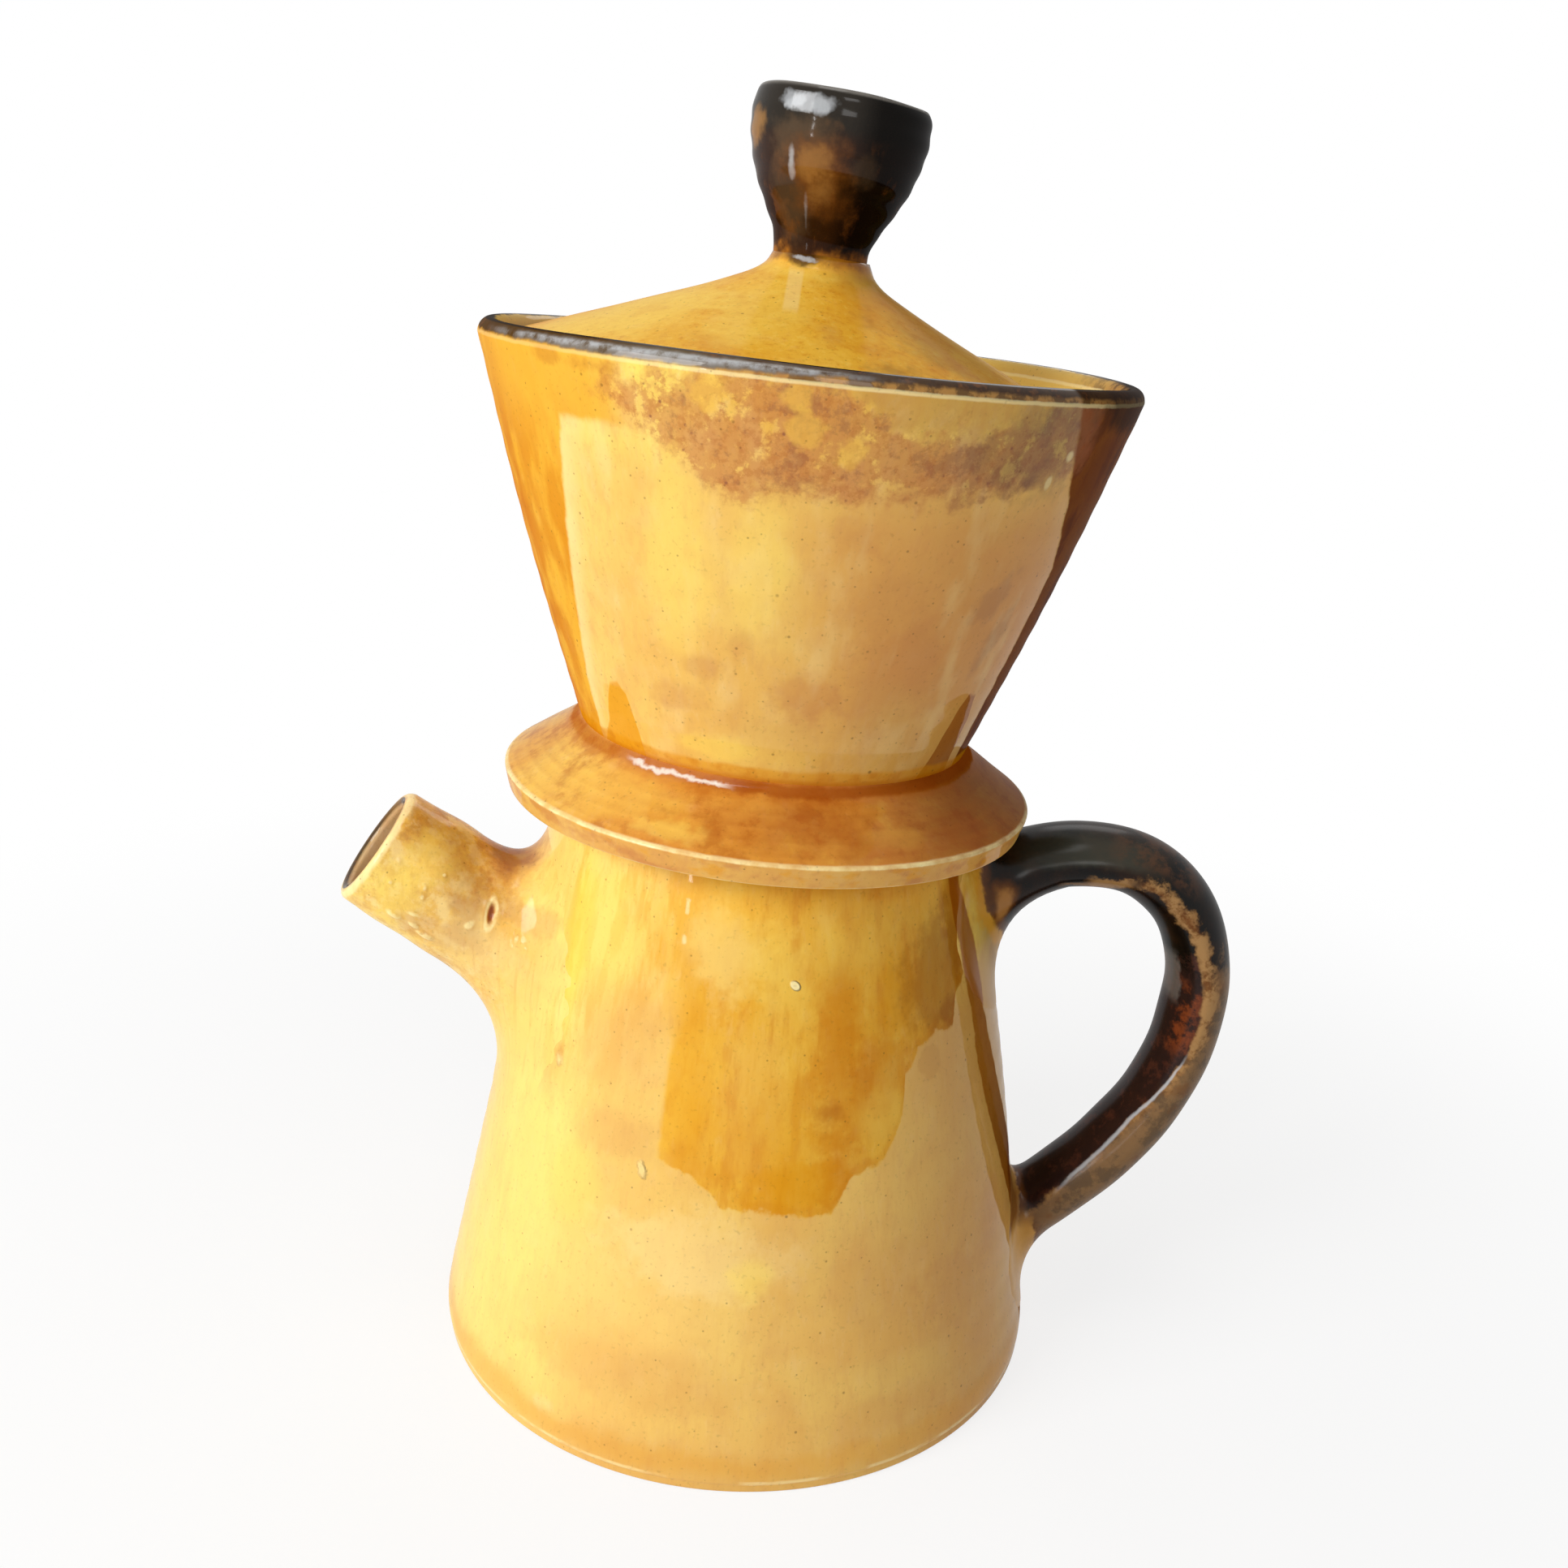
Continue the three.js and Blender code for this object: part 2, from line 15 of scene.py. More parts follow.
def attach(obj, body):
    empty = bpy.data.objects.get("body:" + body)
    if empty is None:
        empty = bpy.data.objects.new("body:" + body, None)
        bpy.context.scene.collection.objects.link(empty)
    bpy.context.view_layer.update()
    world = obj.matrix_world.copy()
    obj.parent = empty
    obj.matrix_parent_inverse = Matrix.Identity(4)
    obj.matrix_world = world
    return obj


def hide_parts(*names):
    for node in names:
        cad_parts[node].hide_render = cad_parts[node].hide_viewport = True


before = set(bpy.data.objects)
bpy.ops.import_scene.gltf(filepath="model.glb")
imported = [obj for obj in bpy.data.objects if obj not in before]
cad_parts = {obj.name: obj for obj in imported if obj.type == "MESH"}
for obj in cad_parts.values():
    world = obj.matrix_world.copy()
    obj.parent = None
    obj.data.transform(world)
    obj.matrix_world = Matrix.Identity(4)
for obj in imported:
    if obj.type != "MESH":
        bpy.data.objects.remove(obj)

LOG = logging.getLogger("coffee_maker")
MM = 0.001
# How many points each round has, and the radius inside which the hand's errors fade out.
ROUND_POINTS = 7
STILL_AXIS = 12
Colour = tuple[float, float, float]
PURE_WHITE: Colour = (1.0, 1.0, 1.0)
Bore = tuple[Matrix, float, float]
SideLine = Callable[[Optional[float], float], np.ndarray]


# Outlines and skins, in millimetres


@dataclass(frozen=True)
class Corner:
    """A corner of an outline: its radius, its height, and how far its round reaches."""

    radius: float
    height: float
    round: float = 0.0


def outline(corners: Sequence[Corner], spacing: float = 1.5, closed: bool = False) -> np.ndarray:
    """Draws a line through corners and rounds each of them.

    Args:
        corners: the corners in order.
        spacing: the most that two points may lie apart.
        closed: whether the line comes back to its first corner.

    Returns:
        Rows of radius and height.
    """
    places = np.array([(corner.radius, corner.height) for corner in corners])
    points: list[np.ndarray] = []
    for index, corner in enumerate(corners):
        here = places[index]
        is_end = not closed and index in (0, len(corners) - 1)
        if is_end or corner.round == 0:
            points.append(here)
            continue
        back = places[index - 1] - here
        ahead = places[(index + 1) % len(corners)] - here
        start = here + back * min(corner.round / np.linalg.norm(back), 0.5)
        end = here + ahead * min(corner.round / np.linalg.norm(ahead), 0.5)
        for share in np.linspace(0, 1, ROUND_POINTS):
            points.append((1 - share) ** 2 * start + 2 * share * (1 - share) * here + share**2 * end)
    if closed:
        points.append(points[0])
    line = [points[0]]
    for point in points[1:]:
        pieces = max(1, math.ceil(np.linalg.norm(point - line[-1]) / spacing))
        start = line[-1]
        line.extend(start + (point - start) * step / pieces for step in range(1, pieces + 1))
    return np.array(line[:-1] if closed else line)


@dataclass(frozen=True)
class Hand:
    """What the potter's hand leaves in a turned form."""

    seed: int
    out_of_round: float = 0.22
    ridges: float = 0.05
    ridge_spacing: float = 6.5
    wave: float = 0.15

    def widening(self, angle: np.ndarray, height: np.ndarray) -> np.ndarray:
        """Finds how far the form is out of true.

        Args:
            angle: angles round the axis, in radians.
            height: heights along the axis.

        Returns:
            How much wider it is there.
        """
        phase = np.random.default_rng(self.seed).uniform(0, 2 * math.pi, 5)
        oval = np.cos(2 * angle + phase[0] + height / 90) + 0.5 * np.cos(3 * angle + phase[1] - height / 60)
        turns = height / self.ridge_spacing + angle / (2 * math.pi) + 0.3 * np.sin(height / 17 + phase[2])
        return self.out_of_round * oval + self.ridges * np.sin(2 * math.pi * turns)

    def rise(self, angle: np.ndarray) -> np.ndarray:
        """How far an edge stands above its true height at an angle."""
        phase = np.random.default_rng(self.seed + 50).uniform(0, 2 * math.pi, 3)
        return self.wave * (np.cos(2 * angle + phase[0]) + 0.5 * np.cos(5 * angle + phase[1])) / 1.5


def turned(
    line: np.ndarray,
    hand: Hand,
    sides: int = 224,
    widen: Optional[Callable[[np.ndarray, np.ndarray], np.ndarray]] = None,
    edge: Optional[tuple[float, float]] = None,
) -> np.ndarray:
    """Turns an outline on the wheel.

    Args:
        line: rows of radius and height.
        hand: the potter's hand.
        sides: how many points each ring has.
        widen: a function of angle and height that adds to the radius.
        edge: the heights between which the hand's rise grows from nothing to its whole.

    Returns:
        Rings of points, as an array of rings, sides and coordinates.
    """
    angle = np.linspace(0, 2 * math.pi, sides, endpoint=False)[None, :]
    radius, height = line[:, :1], line[:, 1:]
    off_axis = np.clip(radius / STILL_AXIS, 0, 1)
    out = radius + hand.widening(angle, height) * off_axis
    if widen is not None:
        out = out + widen(angle, height) * off_axis
    up = np.broadcast_to(height, out.shape).copy()
    if edge is not None:
        up += np.clip((height - edge[0]) / (edge[1] - edge[0]), 0, 1) * hand.rise(angle)
    return np.stack([out * np.cos(angle), out * np.sin(angle), up], axis=-1)


def skin(
    name: str,
    rings: np.ndarray,
    closed: bool = False,
    seat: Optional[Matrix] = None,
    marks: Optional[dict[str, np.ndarray]] = None,
) -> bpy.types.Object:
    """Makes a smooth object of rings of points; a ring whose points all meet closes an end.

    Args:
        name: the object's name.
        rings: an array of rings, sides and coordinates, in millimetres.
        closed: whether the last ring joins the first.
        seat: the frame that the rings are given in, or none for the pot's own.
        marks: numbers for each point that its finish may read, by name.

    Returns:
        The new object, in metres.
    """
    count, sides = rings.shape[:2]
    places = rings.reshape(-1, 3)
    if seat is not None:
        places = places @ np.array(seat.to_3x3()).T + np.array(seat.translation)
    ring = np.arange(count if closed else count - 1)[:, None]
    side = np.arange(sides)[None, :]
    low, high = ring * sides, ((ring + 1) % count) * sides
    after = (side + 1) % sides
    faces = np.stack([low + side, low + after, high + after, high + side], axis=-1).reshape(-1, 4)
    mesh = bpy.data.meshes.new(name)
    mesh.from_pydata((places * MM).tolist(), [], faces.tolist())
    for mark, values in (marks or {}).items():
        column = mesh.attributes.new(mark, "FLOAT", "POINT")
        column.data.foreach_set("value", values.astype(np.float32).ravel())
    work = bmesh.new()
    work.from_mesh(mesh)
    bmesh.ops.remove_doubles(work, verts=work.verts, dist=1e-6)
    bmesh.ops.recalc_face_normals(work, faces=work.faces)
    work.to_mesh(mesh)
    work.free()
    mesh.shade_smooth()
    made = bpy.data.objects.new(name, mesh)
    bpy.context.scene.collection.objects.link(made)
    return made


def bent(
    share: np.ndarray, start: np.ndarray, first: np.ndarray, second: np.ndarray, end: np.ndarray
) -> np.ndarray:
    """Finds places on a cubic bend.

    Args:
        share: how far along the places are, from 0 to 1, in a column.
        start: the bend's start.
        first: the place that it is drawn towards at its start.
        second: the place that it comes from at its end.
        end: the bend's end.

    Returns:
        Rows of coordinates.
    """
    rest = 1 - share
    return rest**3 * start + 3 * rest**2 * share * first + 3 * rest * share**2 * second + share**3 * end


def drill(target: bpy.types.Object, bores: Sequence[Bore], sides: int = 48) -> None:
    """Cuts round holes through an object.

    Args:
        target: the object.
        bores: for each hole its frame, its radius and its length along that frame's Z axis.
        sides: how many sides each hole has.
    """
    for bore, radius, length in bores:
        line = np.array([(0.0, 0.0), (radius, 0.0), (radius, length), (0.0, length)])
        true = Hand(seed=0, out_of_round=0, ridges=0)
        cutter = skin("cutter", turned(line, true, sides), seat=bore)
        cut = target.modifiers.new("hole", "BOOLEAN")
        cut.operation = "DIFFERENCE"
        cut.object = cutter
        cut.solver = "EXACT"
        bpy.context.view_layer.update()
        result = bpy.data.meshes.new_from_object(target.evaluated_get(bpy.context.evaluated_depsgraph_get()))
        target.modifiers.clear()
        target.data = result
        bpy.data.objects.remove(cutter)


# Shader maths


def rgb(red: int, green: int, blue: int) -> Colour:
    """A colour as the eye reads it, in 0 to 255, as the linear one that a shader takes."""
    shares = [channel / 255 for channel in (red, green, blue)]
    return tuple(s / 12.92 if s <= 10 / 255 else ((s + 0.055) / 1.055) ** 2.4 for s in shares)


class Shade:
    """A number or a colour that varies over a surface, for use in Python expressions."""

    def __init__(self, tree: "Tree", socket: bpy.types.NodeSocket) -> None:
        """Wraps an output socket of a tree."""
        self.tree = tree
        self.socket = socket

    def _math(self, operation: str, *operands: "Number") -> "Shade":
        """A Math node on these operands."""
        return self.tree.add("ShaderNodeMath", {"operation": operation}, dict(enumerate(operands)))

    def __add__(self, other: "Number") -> "Shade":
        """self + other."""
        return self._math("ADD", self, other)

    __radd__ = __add__

    def __sub__(self, other: "Number") -> "Shade":
        """self - other."""
        return self._math("SUBTRACT", self, other)

    def __rsub__(self, other: "Number") -> "Shade":
        """other - self."""
        return self._math("SUBTRACT", other, self)

    def __mul__(self, other: "Number") -> "Shade":
        """self * other."""
        return self._math("MULTIPLY", self, other)

    __rmul__ = __mul__

    def __truediv__(self, other: "Number") -> "Shade":
        """self / other."""
        return self._math("DIVIDE", self, other)

    def __pow__(self, other: "Number") -> "Shade":
        """self ** other."""
        return self._math("POWER", self, other)

    def __neg__(self) -> "Shade":
        """-self."""
        return self._math("MULTIPLY", self, -1.0)

    def __abs__(self) -> "Shade":
        """The size of self."""
        return self._math("ABSOLUTE", self)

    def at_most(self, other: "Number") -> "Shade":
        """The smaller of self and other."""
        return self._math("MINIMUM", self, other)

    def at_least(self, other: "Number") -> "Shade":
        """The larger of self and other."""
        return self._math("MAXIMUM", self, other)

    def wave(self) -> "Shade":
        """The sine of self."""
        return self._math("SINE", self)

    def turn_from(self, across: "Shade") -> "Shade":
        """The angle whose upright side is self and whose level side is across, in degrees."""
        return self._math("ARCTAN2", self, across) * (180 / math.pi)

    def part(self, name: str) -> "Shade":
        """Another output of the node that self comes from."""
        return Shade(self.tree, self.socket.node.outputs[name])

    def step(self, start: "Number", end: "Number") -> "Shade":
        """Rises smoothly from 0 where self is start to 1 where it is end, which may be the lower one.

        Args:
            start: the value that gives 0.
            end: the value that gives 1.

        Returns:
            The smooth step.
        """
        settings = {"interpolation_type": "SMOOTHSTEP"}
        return self.tree.add("ShaderNodeMapRange", settings, {0: self, 1: start, 2: end, 3: 0.0, 4: 1.0})

    def within(self, low: "Number", high: "Number", blur: float) -> "Shade":
        """1 between low and high, and 0 outside, with borders blur wide."""
        return (self - low).step(-blur / 2, blur / 2) * (high - self).step(-blur / 2, blur / 2)

    def line(self, *points: tuple[float, float]) -> "Shade":
        """Follows straight lines from point to point.

        Args:
            points: what self may be and what it gives there, in rising order.

        Returns:
            The height of the line at self.
        """
        starts, heights = zip(*points)
        low, high = min(heights), max(heights)
        share = (self - starts[0]) / (starts[-1] - starts[0])
        ramp = self.tree.add("ShaderNodeValToRGB", {}, {0: share})
        stops = ramp.socket.node.color_ramp.elements
        for index, (start, height) in enumerate(points):
            place = (start - starts[0]) / (starts[-1] - starts[0])
            stop = stops[index] if index < 2 else stops.new(place)
            stop.position = place
            stop.color = ((height - low) / (high - low),) * 3 + (1.0,)
        return ramp * (high - low) + low


Number = Union[float, Shade]


class Tree:
    """The nodes of one material."""

    def __init__(self, nodes: bpy.types.NodeTree) -> None:
        """Wraps a node tree and empties it."""
        self.nodes = nodes
        nodes.nodes.clear()

    def add(
        self,
        kind: str,
        settings: dict[str, Any],
        sockets: dict[Union[int, str], Any],
        output: Union[int, str] = 0,
    ) -> Shade:
        """Adds a node, sets it and joins it up.

        Args:
            kind: the node's type.
            settings: its settings, which are set first.
            sockets: for each input, by place or name, a value or the Shade that feeds it.
            output: the output to return.

        Returns:
            That output.
        """
        node = self.nodes.nodes.new(kind)
        for key, value in settings.items():
            setattr(node, key, value)
        for key, value in sockets.items():
            if isinstance(value, Shade):
                self.nodes.links.new(value.socket, node.inputs[key])
            elif isinstance(value, tuple) and node.inputs[key].type == "RGBA":
                node.inputs[key].default_value = (*value, 1.0)
            else:
                node.inputs[key].default_value = value
        return Shade(self, node.outputs[output] if node.outputs else None)

    def mix(self, share: Number, first: Union[Colour, Shade], second: Union[Colour, Shade]) -> Shade:
        """Mixes two colours.

        Args:
            share: how much of the second.
            first: the colour where share is 0.
            second: the colour where share is 1.

        Returns:
            The mixed colour.
        """
        return self.add("ShaderNodeMix", {"data_type": "RGBA"}, {0: share, 6: first, 7: second}, output=2)


class Surface:
    """Places on a piece for its finish: millimetres and degrees in the frame that the piece was made in."""

    def __init__(self, tree: Tree, seat: Matrix) -> None:
        """Works out height, radius and angle in a frame; the angle runs from -270 to 90 and breaks behind.

        Args:
            tree: the material's tree.
            seat: the piece's frame, in millimetres.
        """
        self.tree = tree
        back = seat.inverted()
        sockets = {
            "Vector": tree.add("ShaderNodeTexCoord", {}, {}, output="Object"),
            "Location": tuple(back.translation),
            "Rotation": tuple(back.to_euler()),
            "Scale": (1 / MM,) * 3,
        }
        self.place = tree.add("ShaderNodeMapping", {"vector_type": "POINT"}, sockets)
        self.x = tree.add("ShaderNodeSeparateXYZ", {}, {0: self.place})
        self.y, self.height = self.x.part("Y"), self.x.part("Z")
        self.radius = (self.x * self.x + self.y * self.y) ** 0.5
        self.angle = self.x.turn_from(-self.y) - 90

    def mark(self, name: str) -> Shade:
        """The numbers that the piece's skin was marked with under a name."""
        return self.tree.add("ShaderNodeAttribute", {"attribute_name": name}, {}, "Fac")

    def _scaled(self, scale: Sequence[float], seed: int) -> Shade:
        """Places for a pattern: scaled, and moved by an amount of the seed's own."""
        sockets = {0: self.place, 1: tuple(scale), 2: (seed * 7.31, seed * 3.77, seed * 5.13)}
        return self.tree.add("ShaderNodeVectorMath", {"operation": "MULTIPLY_ADD"}, sockets)

    def noise(
        self,
        size: float,
        seed: int,
        detail: float = 2.0,
        tall: float = 1.0,
        rough: float = 0.5,
        twist: float = 0.0,
    ) -> Shade:
        """Soft noise, about 0.5 on the whole.

        Args:
            size: how large its forms are.
            seed: another number gives other forms.
            detail: how many finer sizes are added.
            tall: how many times as tall the forms are as wide.
            rough: how strong the finer sizes are.
            twist: how far the forms are pulled about.

        Returns:
            The noise.
        """
        where = self._scaled((1 / size, 1 / size, 1 / size / tall), seed)
        sockets = {"Vector": where, "Scale": 1.0, "Detail": detail, "Roughness": rough, "Distortion": twist}
        return self.tree.add("ShaderNodeTexNoise", {}, sockets)

    def spots(self, apart: float, size: float, share: float, seed: int) -> Shade:
        """Round spots, 1 in the middle of each and 0 past its edge.

        Args:
            apart: how far apart the places for spots are.
            size: a spot's radius.
            share: how many of the places have a spot.
            seed: another number gives other spots.

        Returns:
            A dome over each spot.
        """
        where = self._scaled((1 / apart,) * 3, seed)
        cell = self.tree.add("ShaderNodeTexVoronoi", {}, {"Vector": where, "Scale": 1.0}, "Distance")
        luck = self.tree.add("ShaderNodeSeparateColor", {}, {0: cell.part("Color")})
        return cell.step(size / apart, size / apart * 0.35) * luck.step(share, share - 0.02)

    def near(
        self, angle: float, height: float, wide: float, tall: float, middle_radius: float, lean: float = 0.0
    ) -> Shade:
        """How far a place is from one point of the surface, as 1 on an oval round it.

        Args:
            angle: the point's angle, in degrees.
            height: its height.
            wide: the oval's half width.
            tall: the oval's half height.
            middle_radius: the surface's radius there.
            lean: how far the oval's top leans towards rising angles, in degrees.

        Returns:
            0 at the point, 1 on the oval and more outside.
        """
        turn = math.radians(angle)
        deep = 2.5 * max(wide, tall)
        sockets = {
            "Vector": self.place,
            "Location": (middle_radius * math.cos(turn), middle_radius * math.sin(turn), height),
            "Rotation": (-math.radians(lean), 0.0, turn),
            "Scale": (deep, wide, tall),
        }
        away = self.tree.add("ShaderNodeMapping", {"vector_type": "TEXTURE"}, sockets)
        return self.tree.add("ShaderNodeVectorMath", {"operation": "LENGTH"}, {0: away}, "Value")


@dataclass(frozen=True)
class Glaze:
    """A glazed surface: its colour, its relief, its gloss and how blurred its mirror images are."""

    colour: Union[Colour, Shade]
    relief: Number
    gloss: Number = 0.5
    roughness: Number = 0.3
    blur: float = 0.04


def glazed(name: str, seat: Matrix, recipe: Callable[[Surface], Glaze]) -> bpy.types.Material:
    """Makes a material of a glaze recipe.

    Args:
        name: the material's name.
        seat: the frame that the recipe's heights and angles are in.
        recipe: the function that gives the glaze on a surface.

    Returns:
        The material.
    """
    material = bpy.data.materials.new(name)
    material.use_nodes = True
    tree = Tree(material.node_tree)
    surface = Surface(tree, seat)
    glaze = recipe(surface)
    normal = tree.add("ShaderNodeBump", {}, {"Strength": 1.0, "Distance": MM, "Height": glaze.relief})
    sockets = {
        "Base Color": glaze.colour,
        "Roughness": glaze.roughness,
        "Normal": normal,
        "Coat Weight": glaze.gloss,
        "Specular IOR Level": 0.0,
        "Coat Roughness": glaze.blur,
        "Coat IOR": 1.45,
    }
    shader = tree.add("ShaderNodeBsdfPrincipled", {}, sockets)
    tree.add("ShaderNodeOutputMaterial", {}, {"Surface": shader})
    return material


class Tone(Enum):
    """The colours of the two glazes, where they lie thick, thin or burnt, and of the painted reflections,
    highlights and shade laid over them.
    """

    STRAW = rgb(248, 215, 100)
    SUN = rgb(250, 206, 52)
    HONEY = rgb(235, 184, 74)
    BUTTER = rgb(252, 217, 124)
    CREAM = rgb(247, 219, 148)
    VEIL = rgb(227, 177, 100)
    TAN = rgb(208, 146, 74)
    AMBER = rgb(224, 152, 8)
    DEEP = rgb(200, 108, 0)
    RUSSET = rgb(158, 84, 6)
    BROWN = rgb(112, 52, 4)
    MAUVE = rgb(188, 110, 62)
    PLUM = rgb(136, 78, 56)
    RUST = rgb(162, 70, 14)
    PALE_BREAK = rgb(253, 234, 170)
    SPECK = rgb(92, 44, 12)
    BARE_CLAY = rgb(214, 190, 150)
    BLACK = rgb(12, 9, 7)
    COFFEE = rgb(46, 24, 8)
    BURNT = rgb(116, 68, 22)
    OCHRE = rgb(168, 120, 58)
    PEWTER = rgb(138, 132, 124)
    SILVER = rgb(200, 204, 208)
    SMOKE = rgb(92, 72, 50)
    DUN = rgb(140, 106, 68)
    MUSTARD = rgb(196, 140, 28)
    FAWN = rgb(190, 154, 124)
    SLATE = rgb(84, 84, 70)
    WALNUT = rgb(104, 66, 40)
    SOOT = rgb(58, 36, 32)
    MAHOGANY = rgb(92, 50, 34)
    EMBER = rgb(150, 72, 30)
    CARAMEL = rgb(190, 136, 58)
    WHEAT = rgb(178, 138, 86)
    OLIVE = rgb(150, 108, 56)
    TOFFEE = rgb(112, 48, 2)
    TREACLE = rgb(76, 28, 6)
    PEACH = rgb(214, 136, 66)
    GINGER = rgb(192, 134, 60)
    HAZE = rgb(120, 84, 58)
    COPPER = rgb(206, 122, 40)
    BRICK = rgb(168, 84, 20)
    CHESTNUT = rgb(138, 70, 16)
    OXIDE = rgb(150, 60, 8)
    APRICOT = rgb(210, 146, 84)
    GLINT = rgb(246, 240, 230)
    GOLD = rgb(230, 162, 26)
    TAR = rgb(34, 31, 24)
    BRASS = rgb(190, 124, 34)


@dataclass(frozen=True)
class Patch:
    """An oval of another tone: its place, half sizes, strength, how torn and soft its edge is, and lean."""

    angle: float
    height: float
    wide: float
    tall: float
    tone: Tone
    strength: float = 0.6
    torn: float = 0.8
    soft: float = 0.8
    lean: float = 0.0


class Honey:
    """The honey glaze, which every piece shares so that joints don't show."""

    def __init__(self, surface: Surface, ground: Optional[Surface] = None) -> None:
        """Lays the plain glaze on a surface.

        Args:
            surface: places on the piece, for the patches.
            ground: places for the glaze's own clouds and streaks, where they aren't the same.
        """
        self.surface = surface
        self.tree = surface.tree
        self.ground = surface = ground or surface
        self.edge = surface.noise(13, 1, detail=4, rough=0.6) - 0.5
        self.fine_edge = surface.noise(3.6, 2, detail=3, rough=0.6) - 0.5
        self.torn_edge = self.edge * 1.4 + self.fine_edge * 0.8
        clouds = surface.noise(30, 3, detail=4, twist=0.6).step(0.36, 0.64)
        self.colour = self.tree.mix(clouds, Tone.HONEY.value, Tone.STRAW.value)
        self.paint(surface.noise(17, 4, detail=4, rough=0.6).step(0.5, 0.72) * 0.28, Tone.TAN)
        self.paint(surface.noise(6.5, 5, detail=4, tall=1.3, rough=0.55).step(0.5, 0.74) * 0.3, Tone.TAN)
        self.paint(surface.noise(7.5, 13, detail=3, tall=1.5).step(0.54, 0.76) * 0.3, Tone.CREAM)
        brushed = surface.noise(2.6, 16, detail=5, tall=3, rough=0.7)
        self.paint(brushed.step(0.5, 0.68) * 0.34, Tone.TAN)
        self.paint(brushed.step(0.46, 0.3) * 0.3, Tone.CREAM)
        self.relief: Number = surface.noise(18, 7, detail=1) * 0.35 + surface.noise(2.4, 8, detail=2) * 0.03
        self.gloss: Number = 0.5
        self.blur = 0.04

    def paint(self, mask: Number, tone: Union[Tone, Shade]) -> None:
        """Lays another tone over the glaze.

        Args:
            mask: where, from 0 to 1.
            tone: the tone, or a colour that varies.
        """
        colour = tone.value if isinstance(tone, Tone) else tone
        self.colour = self.tree.mix(mask, self.colour, colour)

    def patches(self, radius: float, *patches: Patch, where: Number = 1.0, base: float = 0.0) -> None:
        """Lays ovals of other tones over the glaze.

        Args:
            radius: the surface's radius about the patches.
            patches: the ovals.
            where: the zone that they keep to, from 0 to 1.
            base: the height that theirs are counted from.
        """
        for patch in patches:
            height = base + patch.height
            away = self.surface.near(patch.angle, height, patch.wide, patch.tall, radius, patch.lean)
            away = away + self.torn_edge * patch.torn
            half = patch.soft / 2
            self.paint(away.step(1 + half, 1 - half) * (where * patch.strength), patch.tone)

    def runs(self, strength: float = 0.3) -> None:
        """Draws the soft upright bands and the faint hairs that a glaze gets as it runs."""
        bands = self.ground.noise(5.5, 6, detail=3, tall=9)
        hairs = self.ground.noise(1.0, 14, detail=3, tall=32, rough=0.6)
        self.paint(bands.step(0.5, 0.76) * strength, Tone.AMBER)
        self.paint(bands.step(0.46, 0.26) * strength * 0.7, Tone.STRAW)
        self.paint(hairs.step(0.5, 0.74) * strength * 0.8, Tone.DEEP)

    def speckle(self, share: float = 0.6) -> None:
        """Adds the fine iron specks, on a share of their places, and the pepper between them."""
        fine = self.surface.spots(2.4, 0.3, share, 9) * 0.45
        middling = self.surface.spots(4.6, 0.42, share * 0.6, 10) * 0.5
        coarse = self.surface.spots(10.5, 0.6, share * 0.6, 11) * 0.6
        pepper = self.surface.noise(0.8, 15, detail=1).step(0.6, 0.8) * 0.16
        self.paint(fine.at_least(middling).at_least(coarse).at_least(pepper), Tone.SPECK)

    def glaze(self) -> Glaze:
        """The finished glaze."""
        rub = self.surface.noise(25, 12, detail=3)
        return Glaze(self.colour, self.relief, self.gloss, 0.3 + rub * 0.12, self.blur)


# Pieces


@dataclass(frozen=True)
class Wall:
    """The pot's outer wall: a straight taper above the foot band, a little fuller beside the handle."""

    height: float = 131.5
    foot_radius: float = 70.8
    band: float = 4.6
    mouth_radius: float = 46.0
    thickness: float = 5.0
    fullness: float = 1.3

    @property
    def taper(self) -> float:
        """How much narrower the wall gets with each millimetre of height."""
        return (self.foot_radius - self.mouth_radius) / (self.height - self.band)

    @property
    def inset(self) -> float:
        """How far the inner wall is in from the outer one, measured level."""
        return self.thickness * math.hypot(1, self.taper)

    def straight(self, height: float) -> float:
        """The radius of the true taper at a height."""
        return self.mouth_radius + (self.height - height) * self.taper

    def clear_of(self, surface: Surface) -> Shade:
        """How far a surface in the pot's frame stands out from the true taper."""
        return surface.radius - (self.straight(0) - surface.height * self.taper)

    def swelling(self, angle: np.ndarray, height: np.ndarray) -> np.ndarray:
        """Finds how much fuller the wall is than the true taper.

        Args:
            angle: angles round the axis, in radians.
            height: heights above the foot.

        Returns:
            The extra radius.
        """
        aside = np.exp(-((np.angle(np.exp(1j * angle)) / math.radians(38)) ** 2))
        level = np.clip(np.sin(np.clip((height - 22) / 98, 0, 1) * math.pi), 0, 1)
        return self.fullness * aside * level

    def depth(self, place: np.ndarray) -> float:
        """How far a place is out from the wall; below 0 it is inside."""
        angle, height = math.atan2(place[1], place[0]), place[2]
        swollen = self.straight(height) + float(self.swelling(angle, height))
        return math.hypot(place[0], place[1]) - swollen

    def normal(self, place: np.ndarray) -> np.ndarray:
        """The direction straight out from the wall at a place."""
        steps = np.eye(3) * 0.01
        slope = np.array([self.depth(place + step) - self.depth(place - step) for step in steps])
        return slope / np.linalg.norm(slope)

    def onto(self, place: np.ndarray) -> np.ndarray:
        """A place brought level onto the wall."""
        out = np.array([place[0], place[1], 0]) / math.hypot(place[0], place[1])
        return place - out * self.depth(place)


def painted_light_side(angle: Shade) -> Shade:
    """Where the pot is painted paler, as painted light on its lit side: from the front round the spout to the
    back.
    """
    return angle.step(-98, -134) * angle.step(-250, -200)


